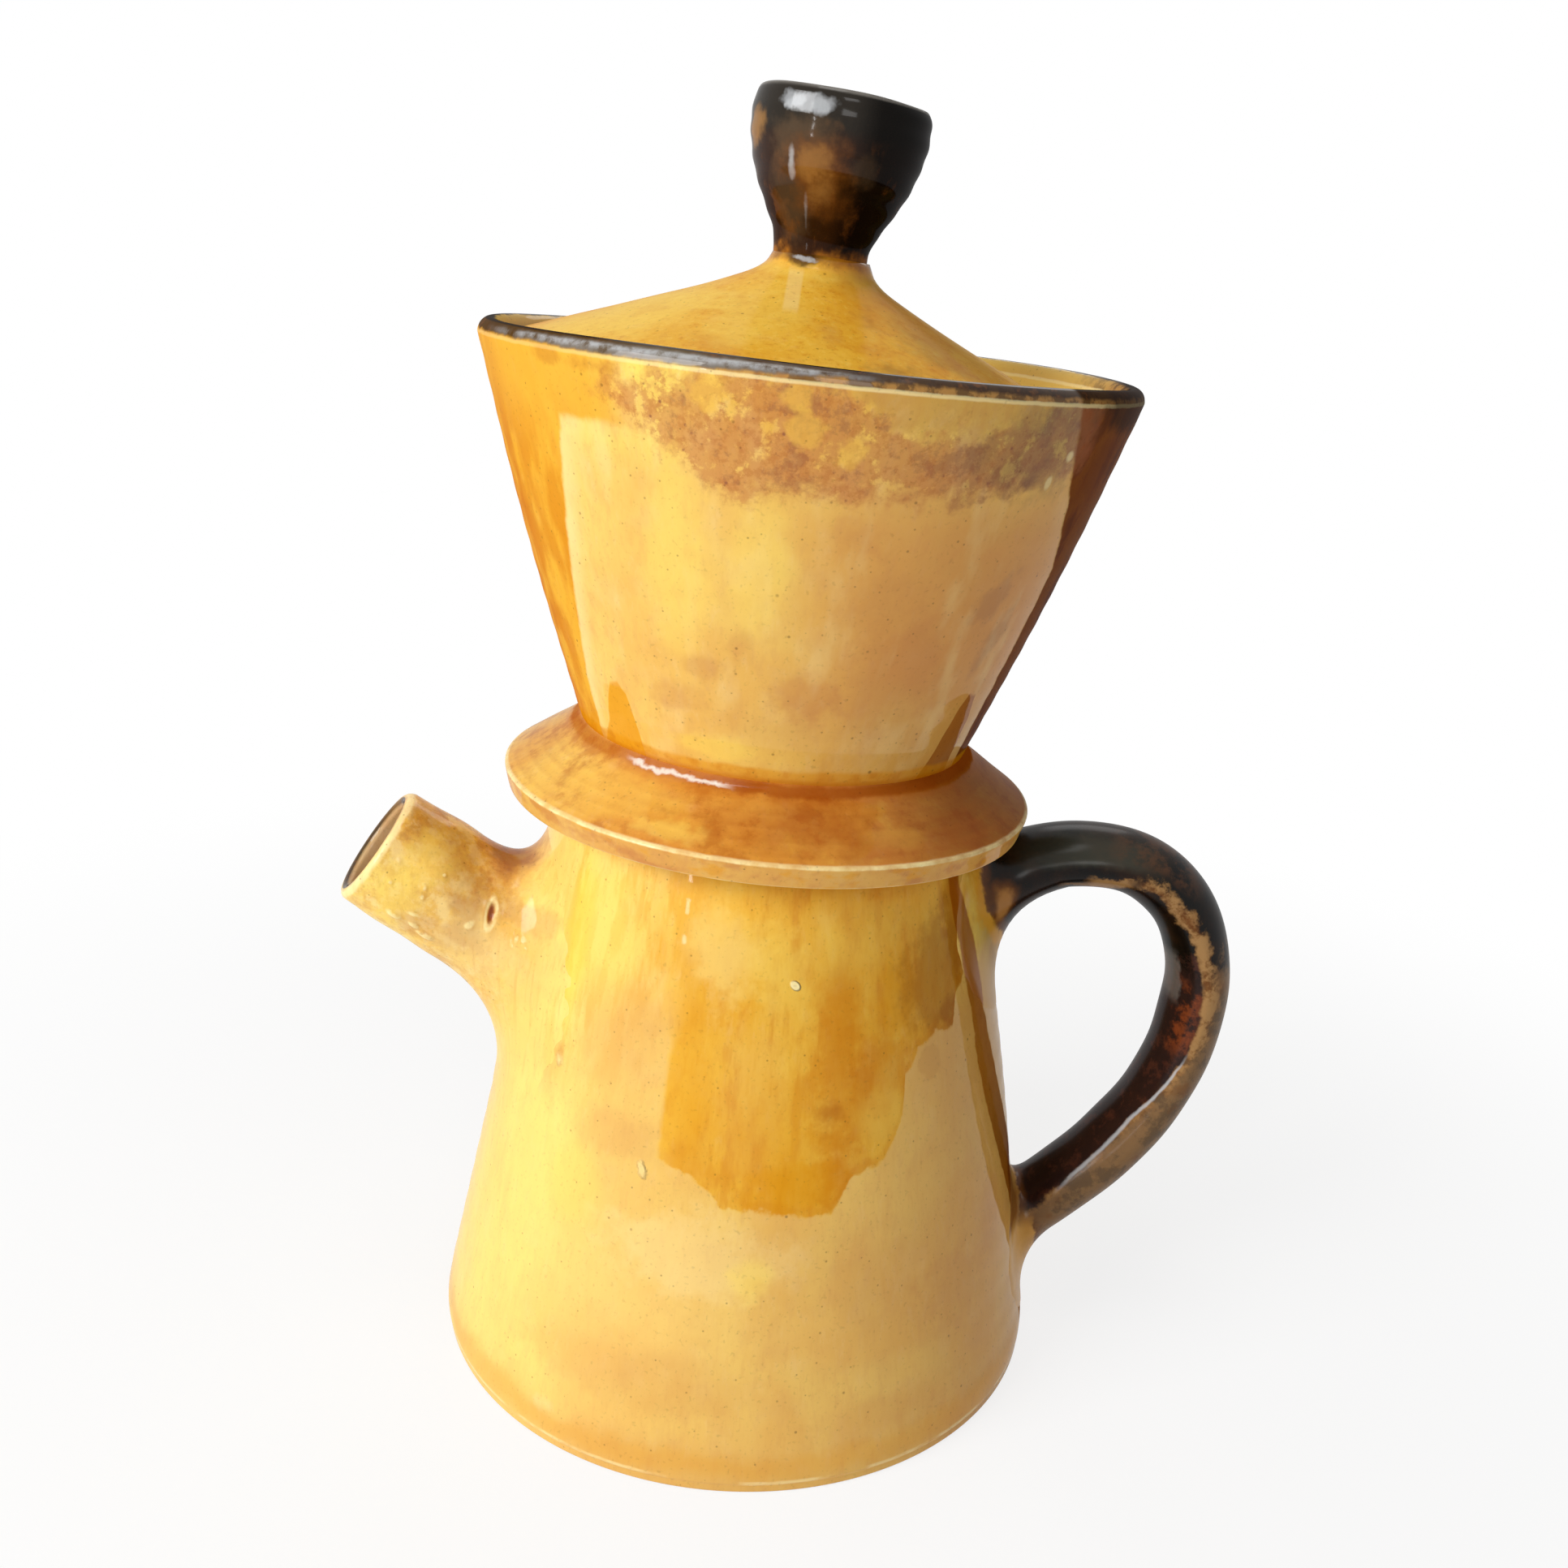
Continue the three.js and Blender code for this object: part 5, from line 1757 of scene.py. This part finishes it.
        # Painted shadow: a black line along the crest's inner edge, against the lid.
        honey.paint(dark * inward.within(2.4, 4.2, 0.5) * 0.75, Tone.BLACK)
        # A pale line on the rim's edge: partly the glaze breaking over it, partly a painted highlight.
        line = (up + honey.fine_edge * 0.4).within(self.rim - 0.4, self.rim + 0.3, 0.35)
        honey.paint(line * (surface.angle.within(-118, 60, 36) * 0.4 + 0.2), Tone.PALE_BREAK)
        corner = surface.near(-26, 93, 15, 6, 66) + honey.torn_edge * 0.8
        honey.paint(corner.step(1.3, 0.7) * 0.75, Tone.COFFEE)

    def saucer_recipe(self, surface: Surface) -> Glaze:
        """The saucer's glaze, which pooled against the cone, with a painted highlight on the fillet.

        Args:
            surface: places on the saucer.

        Returns:
            The glaze.
        """
        honey = Honey(surface)
        out = surface.radius
        from_top = surface.height - self.saucer_top
        on_top = from_top.step(-0.6, 0.4)
        lit = (surface.angle + honey.edge * 30).within(-125, 45, 50)
        honey.paint(on_top * (0.35 + lit * 0.4), Tone.COPPER)
        swirl = (out * 2.4 + honey.edge * 4).wave()
        honey.relief = honey.relief + on_top * swirl * 0.04
        honey.paint(on_top * swirl.step(0.2, 1.0) * 0.1, Tone.RUST)
        mottle = surface.noise(7, 52, detail=5, rough=0.65)
        honey.paint(on_top * mottle.step(0.48, 0.66) * 0.5, Tone.BRICK)
        honey.paint(on_top * mottle.step(0.44, 0.3) * 0.35, Tone.HONEY)
        turn = surface.angle + honey.edge * 24
        right = turn.step(-72, -38) * turn.step(40, 10)
        honey.paint(on_top * right * 0.6, Tone.CHESTNUT)
        pool = (out - self.root_radius + honey.edge * 6).step(5.5, 1)
        honey.paint(pool * 0.4, Tone.DEEP)
        from_cone = out - self.root_radius + honey.edge * 2
        fillet = (from_cone + honey.fine_edge).within(0.2, 2.3, 1.2)
        pooled = surface.angle.within(-104, 60, 16)
        honey.paint(fillet * pooled * 0.65, Tone.OXIDE)
        honey.paint(fillet * (1 - pooled) * 0.5, Tone.RUST)
        honey.patches(52, *SAUCER_CLOUDS)
        side = (1 - on_top) * out.step(self.saucer_radius - 3, self.saucer_radius - 1)
        honey.paint(side * 0.6, Tone.APRICOT)
        honey.paint(side * surface.noise(7, 53, detail=4, tall=0.5).step(0.5, 0.68) * 0.5, Tone.MAUVE)
        honey.paint(side * surface.noise(5, 54, detail=3, tall=0.5).step(0.54, 0.7) * 0.5, Tone.AMBER)
        # Pale lines on the saucer's edges: partly the glaze breaking over them, partly painted highlights.
        upper = (from_top + honey.fine_edge * 0.4).within(-0.4, 0.35, 0.35)
        lower = surface.height.within(-self.saucer_droop - 0.2, 0.4 - self.saucer_droop, 0.35)
        rims = upper.at_least(lower * 0.8) * out.step(self.saucer_radius - 2.4, self.saucer_radius - 1.2)
        honey.paint(rims * (honey.fine_edge * 1.6 + honey.edge + 0.6), Tone.PALE_BREAK)
        shine = fillet * surface.angle.within(-134, -97, 8)
        # Painted highlight: a broken white glint on the fillet.
        glint = (from_cone + honey.fine_edge * 2.4).within(1.2, 1.9, 0.6)
        honey.paint(glint * surface.angle.within(-130, -101, 6) * 0.8, Tone.GLINT)
        honey.gloss = 0.36 + shine * 0.6 - (fillet - shine) * 0.3 - right * on_top * 0.24
        honey.speckle()
        return honey.glaze()

    def ring_recipe(self, surface: Surface) -> Glaze:
        """The locating ring: thin, pale glaze.

        Args:
            surface: places on the ring.

        Returns:
            The glaze.
        """
        honey = Honey(surface)
        honey.paint(surface.noise(12, 55, detail=3).step(0.3, 0.7) * 0.6, Tone.CREAM)
        rubbed = (surface.height + self.ring_depth + surface.noise(5, 56) * 1.5).step(0.8, 0.2)
        honey.paint(rubbed * 0.7, Tone.BARE_CLAY)
        honey.speckle()
        return honey.glaze()


LID_CLOUDS = (
    Patch(-152, 8, 16, 7, Tone.STRAW, 0.4),
    Patch(-112, 15, 9, 7, Tone.STRAW, 0.3, torn=1.2),
    Patch(-84, 13, 2.6, 2.4, Tone.MAUVE, 0.25, torn=1.2),
    Patch(-34, 12, 12, 7, Tone.BURNT, 0.35),
    Patch(-62, 5, 12, 3, Tone.BURNT, 0.45, torn=1.4),
    Patch(-66, 19, 6, 5, Tone.BURNT, 0.3, torn=1.3),
)
# The knob's heights are counted from its neck.
KNOB_CLOUDS = (
    # Painted reflection: the first smoke patch is a grey veil below the highlight.
    Patch(-116, 21, 6.5, 4, Tone.SMOKE, 0.6, torn=1.2),
    Patch(-124, 10, 4, 9, Tone.SMOKE, 0.45, torn=1.1),
    Patch(-70, 17, 3, 3, Tone.SMOKE, 0.3, torn=1.3),
    Patch(-103, 17, 5.4, 4.0, Tone.BURNT, 0.6, torn=2.2, soft=1.4),
    Patch(-97, 11.5, 4.2, 5.0, Tone.BURNT, 0.5, torn=2.2, soft=1.4),
    Patch(-104, 17, 2.6, 2.2, Tone.OCHRE, 0.5, torn=2.8, soft=1.6),
    Patch(-97, 12, 1.8, 2.4, Tone.OCHRE, 0.4, torn=2.8, soft=1.6),
    Patch(-156, 22, 3.6, 3.2, Tone.OCHRE, 0.65, torn=1.4),
    # Painted highlights: the silver patches.
    Patch(-115, 26.6, 5.4, 1.8, Tone.SILVER, 0.45, torn=1.2, soft=0.4, lean=-4),
    Patch(-124, 26.9, 3.4, 2.1, Tone.SILVER, 0.45, torn=1.4, soft=0.4),
    Patch(-106, 26.2, 2.0, 1.6, Tone.SILVER, 0.35, torn=1.4, soft=0.4),
    Patch(-121, 16.3, 0.5, 2.2, Tone.SILVER, 0.55, torn=2.8, soft=1.4),
    Patch(-110, 7.0, 0.3, 2.6, Tone.SILVER, 0.25, torn=2.8, soft=1.4),
)


@dataclass
class Lid:
    """The thrown lid, wedged a little askew in the cone, with its knob."""

    holder: Filter
    lean: float = 3.45
    off_centre: float = 0.55
    seat_depth: float = 7.6
    clearance: float = 1.0
    edge_radius: float = 2.2
    thickness: float = 4.8
    rise: float = 21.0
    neck_radius: float = 9.7
    neck_height: float = 3.8
    knob_off_centre: float = 0.5
    knob_radius: float = 17.9
    knob_height: float = 30.2

    def __post_init__(self) -> None:
        """Works out the lid's frame, its radius and where its knob begins."""
        holder = self.holder
        level = holder.crest - self.seat_depth
        self.radius = holder.outer(level) - holder.inset - self.clearance
        moved = self.radius * math.sin(math.radians(self.lean)) * holder.spread + self.off_centre
        lean = Matrix.Rotation(math.radians(self.lean), 4, "Y")
        self.seat = holder.seat @ Matrix.Translation((-moved, 0, level)) @ lean
        self.knob_seat = self.seat @ Matrix.Translation((-self.knob_off_centre, 0, 0))
        self.neck_top = self.rise + self.neck_height

    def build_dome(self) -> bpy.types.Object:
        """Makes the lid's shell up to the knob's neck."""
        edge = self.radius - self.edge_radius
        corners = [
            Corner(0, self.rise - self.thickness),
            Corner(9, self.rise - self.thickness, 5),
            Corner(edge - self.thickness, -self.edge_radius, 3),
            Corner(self.radius, -self.edge_radius, 1.6),
            Corner(self.radius, 1.2, 1.4),
            Corner(40, 9.3, 8),
            Corner(22, 16.6, 6),
            Corner(11.5, 21.6, 4.5),
            Corner(self.neck_radius, self.neck_top + 0.6),
            Corner(0, self.neck_top + 0.6),
        ]
        hand = Hand(seed=5, out_of_round=0.1, wave=0.15)
        return skin("lid_dome_glazed", turned(outline(corners, spacing=1.3), hand), seat=self.seat)

    def build_knob(self) -> bpy.types.Object:
        """Makes the goblet-shaped knob with its dished top."""
        foot, wide, top = self.neck_top, self.knob_radius, self.neck_top + self.knob_height
        corners = [
            Corner(0, foot - 0.6),
            Corner(self.neck_radius - 0.1, foot - 0.6, 0.3),
            Corner(self.neck_radius + 0.1, foot + 3.5, 2.5),
            Corner(wide - 2.1, foot + 14.5, 4),
            Corner(wide - 0.5, foot + 20.6, 2),
            Corner(wide, foot + 23.5, 2),
            Corner(wide - 0.2, top - 2.0, 1.6),
            Corner(wide - 1.3, top, 0.8),
            Corner(wide - 3.2, top - 0.6, 1.0),
            Corner(wide - 6, top - 2.6, 2),
            Corner(0, top - 3.0),
        ]
        hand = Hand(seed=6, out_of_round=0.16, ridges=0.09, ridge_spacing=4.6, wave=0.2)
        rings = turned(outline(corners, spacing=0.8), hand, sides=160, edge=(foot + 15, top))
        return skin("lid_knob_glazed", rings, seat=self.knob_seat)

    def dome_recipe(self, surface: Surface) -> Glaze:
        """The lid's glaze, with a painted shadow at its edge and a painted reflection and highlight near the
        knob.

        Args:
            surface: places on the lid.

        Returns:
            The glaze.
        """
        honey = Honey(surface)
        up = surface.height
        grain = surface.noise(2.0, 61, detail=5, rough=0.7)
        honey.paint(0.65, Tone.GOLD)
        honey.paint(grain.step(0.5, 0.68) * 0.36, Tone.DEEP)
        honey.paint(grain.step(0.46, 0.34) * 0.25, Tone.STRAW)
        honey.paint(surface.noise(11, 62, detail=4).step(0.5, 0.68) * 0.3, Tone.DEEP)
        honey.paint(surface.noise(8, 63, detail=4).step(0.52, 0.7) * 0.35, Tone.HONEY)
        honey.patches(36, *LID_CLOUDS)
        # Painted shadow: a dark line round the edge where the lid meets the cone.
        honey.paint(surface.radius.step(self.radius - 3, self.radius - 0.5) * 0.5, Tone.COFFEE)
        collar_line = (up + honey.fine_edge * 1.5).within(self.neck_top - 4, self.neck_top - 1.2, 1.2)
        honey.paint(collar_line * 0.3, Tone.STRAW)
        torn = honey.fine_edge * 4 + honey.edge * 4
        collar = (up + torn).step(self.neck_top - 3.4, self.neck_top)
        honey.paint(collar * 0.5, Tone.AMBER)
        honey.paint((up + torn).step(self.neck_top - 1.6, self.neck_top + 0.8) * 0.8, Tone.BURNT)
        drop = surface.near(-112, self.neck_top, 3.8, 1.9, 10) + honey.torn_edge * 1.8
        honey.paint(drop.step(1.4, 0.6) * 0.85, Tone.COFFEE)
        # Painted highlight: a small silver glint on the collar below the knob.
        drop = surface.near(-114, self.neck_top - 0.4, 2.2, 0.5, 10) + honey.fine_edge * 5
        honey.paint(drop.step(1.3, 0.4) * 0.6, Tone.SILVER)
        # Painted reflection: a pale upright strip where the lid mirrors the window.
        mirrored = surface.x.within(-6.1, -3.2, 0.6) * (up + honey.edge * 4).within(14.6, 22, 2)
        honey.paint(mirrored * surface.angle.within(-130, -85, 10) * 0.38, Tone.CREAM)
        right = surface.angle.within(-76, -14, 24)
        honey.paint(right * up.step(12, 16) * 0.3, Tone.DEEP)
        honey.gloss = 0.2 + collar * 0.4 - right * 0.14
        honey.blur = 0.16
        honey.speckle(0.8)
        return honey.glaze()

    def knob_recipe(self, surface: Surface) -> Glaze:
        """The knob's dark glaze with amber where it ran thin, with painted highlights and painted shade on
        its right.

        Args:
            surface: places on the knob.

        Returns:
            The glaze.
        """
        dark = Honey(surface)
        patches = surface.noise(7, 71, detail=5, rough=0.62, tall=1.6)
        streaks = surface.noise(2.4, 72, detail=4, tall=4, rough=0.6)
        up = surface.height - self.neck_top
        top = self.knob_height
        dark.paint(1.0, Tone.COFFEE)
        dark.paint((up + dark.edge * 6).step(20, 24) * 0.85, Tone.TAR)
        # Painted shade: the right side is painted black.
        right = surface.angle.step(-88, -64) * surface.angle.step(60, 20)
        dark.paint(right * 0.85, Tone.BLACK)
        waist = up.step(2, 6) * (up + patches * 5).step(26, 20)
        dark.paint(patches.step(0.54, 0.68) * waist * 0.5, Tone.BURNT)
        dark.patches(16, *KNOB_CLOUDS, base=self.neck_top)
        left = surface.angle.within(-240, -80, 20)
        dark.paint(streaks.step(0.54, 0.7) * up.step(20, 12) * left * 0.35, Tone.BURNT)
        at_neck = (up + dark.fine_edge * 6 + dark.edge * 6).step(3.4, -0.4)
        at_neck = at_neck * (1 - surface.angle.within(-128, -98, 10) * 0.8)
        dark.paint(at_neck * 0.85, Tone.BURNT)
        dark.paint(at_neck * at_neck * 0.6, Tone.BRASS)
        # Painted highlight: a pale line where the top's rim catches the light.
        edge = up.within(top - 0.9, top + 1, 0.5)
        edge = edge * surface.radius.within(self.knob_radius - 2.8, self.knob_radius - 0.7, 0.6)
        dark.paint(edge * 0.6, Tone.PEWTER)
        dark.relief = dark.relief + patches * 0.35 + surface.noise(2.6, 73, detail=3) * 0.2
        gloss = 0.16 + up.step(8, 18) * (0.3 - right * 0.24) - right * 0.06
        return Glaze(dark.colour, dark.relief, gloss, 0.3 + patches * 0.15, 0.1)


# Studio


@dataclass(frozen=True)
class Softbox:
    """A square lamp that shines at the object."""

    name: str
    azimuth: float
    elevation: float
    distance: float
    width: float
    height: float
    watts: float

    def light(self, target: Vector) -> None:
        """Hangs the lamp.

        Args:
            target: the place that it faces.
        """
        turn, lift = math.radians(self.azimuth), math.radians(self.elevation)
        back = Vector((math.sin(turn) * math.cos(lift), -math.cos(turn) * math.cos(lift), math.sin(lift)))
        lamp = bpy.data.lights.new(self.name, "AREA")
        lamp.shape = "RECTANGLE"
        lamp.size, lamp.size_y = self.width, self.height
        lamp.energy = self.watts
        made = bpy.data.objects.new(self.name, lamp)
        made.location = target + back * self.distance
        made.rotation_euler = back.to_track_quat("Z", "Y").to_euler()
        bpy.context.scene.collection.objects.link(made)


@dataclass
class Studio:
    """The pale floor, the lamps and the world."""

    floor_reach: float = 12.0
    fade_start: float = 0.11
    fade_end: float = 0.42
    whitened: float = 0.8
    daylight: float = 0.22
    target: tuple[float, float, float] = (0, 0, 0.13)
    white: Colour = (0.9, 0.895, 0.885)
    lamps: Sequence[Softbox] = (
        Softbox("window", -52, 26, 1.2, 0.6, 0.5, 11.4),
        Softbox("doorway", -34, 1.5, 1.3, 0.045, 0.16, 0.5),
        Softbox("front", 12, 30, 1.4, 0.4, 0.3, 1.8),
        Softbox("top", -20, 80, 1.4, 0.5, 0.5, 3.2),
        Softbox("back", 165, 35, 1.5, 0.6, 0.5, 2.0),
    )

    def build(self) -> None:
        """Makes the floor, the lamps and the world."""
        radii = np.array([0, 0.5, 2, self.floor_reach]) / MM
        true = Hand(seed=0, out_of_round=0, ridges=0)
        floor = skin("floor", turned(np.stack([radii, 0 * radii], axis=-1), true, sides=96))
        floor.data.materials.append(self._floor_material())
        for lamp in self.lamps:
            lamp.light(Vector(self.target))
        world = bpy.data.worlds.new("daylight")
        world.use_nodes = True
        tree = Tree(world.node_tree)
        seen = self._seen(tree)
        light = tree.add("ShaderNodeBackground", {}, {"Color": PURE_WHITE, "Strength": self.daylight})
        shown = tree.add("ShaderNodeBackground", {}, {"Color": PURE_WHITE, "Strength": 1.0})
        shader = tree.add("ShaderNodeMixShader", {}, {0: seen, 1: light, 2: shown})
        tree.add("ShaderNodeOutputWorld", {}, {"Surface": shader})
        bpy.context.scene.world = world

    @staticmethod
    def _seen(tree: Tree) -> Shade:
        """1 for what the camera sees, itself, mirrored or through glass."""
        path = tree.add("ShaderNodeLightPath", {}, {}, "Is Camera Ray")
        return (path + path.part("Is Glossy Ray") + path.part("Is Transmission Ray")).at_most(1.0)

    def _floor_material(self) -> bpy.types.Material:
        """The floor's matt white, which fades into the white of the world away from the object."""
        material = bpy.data.materials.new("matt_white")
        material.use_nodes = True
        tree = Tree(material.node_tree)
        matt = tree.add("ShaderNodeBsdfDiffuse", {}, {"Color": self.white})
        lifted = tree.add("ShaderNodeEmission", {}, {"Color": PURE_WHITE, "Strength": 1.0})
        place = tree.add("ShaderNodeTexCoord", {}, {}, output="Object")
        away = tree.add("ShaderNodeVectorMath", {"operation": "LENGTH"}, {0: place}, "Value")
        faded = away.step(self.fade_start, self.fade_end) * (1 - self.whitened)
        share = self._seen(tree) * (self.whitened + faded)
        shader = tree.add("ShaderNodeMixShader", {}, {0: share, 1: matt, 2: lifted})
        tree.add("ShaderNodeOutputMaterial", {}, {"Surface": shader})
        return material


@dataclass(frozen=True)
class View:
    """The photograph's camera."""

    place: tuple[float, float, float] = (0.0, -328.39, 240.73)
    yaw: float = 0.0116
    pitch: float = 0.3188
    roll: float = 0.0658
    focal_pixels: float = 1900.0
    frame_pixels: float = 1932.0
    sensor: float = 36.0

    def aim(self) -> None:
        """Makes the camera and gives it to the scene."""
        level = math.cos(self.pitch)
        ahead = Vector((math.sin(self.yaw) * level, math.cos(self.yaw) * level, -math.sin(self.pitch)))
        right = Vector((math.cos(self.yaw), -math.sin(self.yaw), 0))
        up = right.cross(ahead)
        turned_right = right * math.cos(self.roll) + up * math.sin(self.roll)
        turned_up = up * math.cos(self.roll) - right * math.sin(self.roll)
        lens = bpy.data.cameras.new("photo_view")
        lens.sensor_width = self.sensor
        lens.lens = self.focal_pixels / self.frame_pixels * self.sensor
        lens.clip_start, lens.clip_end = 0.01, 50
        camera = bpy.data.objects.new("photo_view", lens)
        turn = Matrix((turned_right, turned_up, -ahead)).transposed().to_4x4()
        camera.matrix_world = Matrix.Translation(Vector(self.place) * MM) @ turn
        bpy.context.scene.collection.objects.link(camera)
        bpy.context.scene.camera = camera


@dataclass(frozen=True)
class Member:
    """A clay member: its CAD node, body, slot and finish by name, its frame, and what makes and glazes it."""

    node: str
    body: str
    slot: str
    finish: str
    seat: Matrix
    build: Callable[[], bpy.types.Object]
    recipe: Callable[[Surface], Glaze]

    def hand_in(self) -> None:
        """Makes the member, dresses it and puts it in its CAD node's place."""
        piece = self.build()
        piece.data.materials.clear()
        piece.data.materials.append(glazed(self.finish, self.seat, self.recipe))
        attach(piece, self.body)
        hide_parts(self.node)
        LOG.info("%s: %d faces, on %s", piece.name, len(piece.data.polygons), self.body)


def members() -> tuple[Member, ...]:
    """The eight members, from the pot up."""
    wall = Wall()
    drip = Filter(wall)
    spout = Spout(wall)
    pot = PotBody(wall, rim_seat=drip.seat, spout_bore=spout.bore)
    handle = Handle(wall)
    lid = Lid(drip)
    amber, dark = "amber_glaze", "dark_glaze"
    cone, dish, ring = "filter_cone", "filter_saucer", "filter_locating_ring"
    return (
        Member("pot_body", "pot", amber, "pot_honey_glaze", Matrix(), pot.build, pot.recipe),
        Member("spout", "pot", amber, "spout_honey_glaze", spout.seat, spout.build, spout.recipe),
        Member("handle", "pot", dark, "handle_dark_glaze", Matrix(), handle.build, handle.recipe),
        Member(cone, "filter", amber, "cone_honey_glaze", drip.seat, drip.build_cone, drip.cone_recipe),
        Member(dish, "filter", amber, "saucer_honey_glaze", drip.seat, drip.build_saucer, drip.saucer_recipe),
        Member(ring, "filter", amber, "ring_honey_glaze", drip.seat, drip.build_ring, drip.ring_recipe),
        Member("lid_dome", "lid", amber, "lid_honey_glaze", lid.seat, lid.build_dome, lid.dome_recipe),
        Member("lid_knob", "lid", dark, "knob_dark_glaze", lid.knob_seat, lid.build_knob, lid.knob_recipe),
    )


def main() -> None:
    """Builds and dresses every piece, then the studio and the camera."""
    logging.basicConfig(level=logging.INFO, format="%(message)s")
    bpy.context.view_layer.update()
    bpy.context.scene.view_settings.view_transform = "Standard"
    for member in members():
        member.hand_in()
    Studio().build()
    View().aim()


if __name__ == "__main__":
    main()
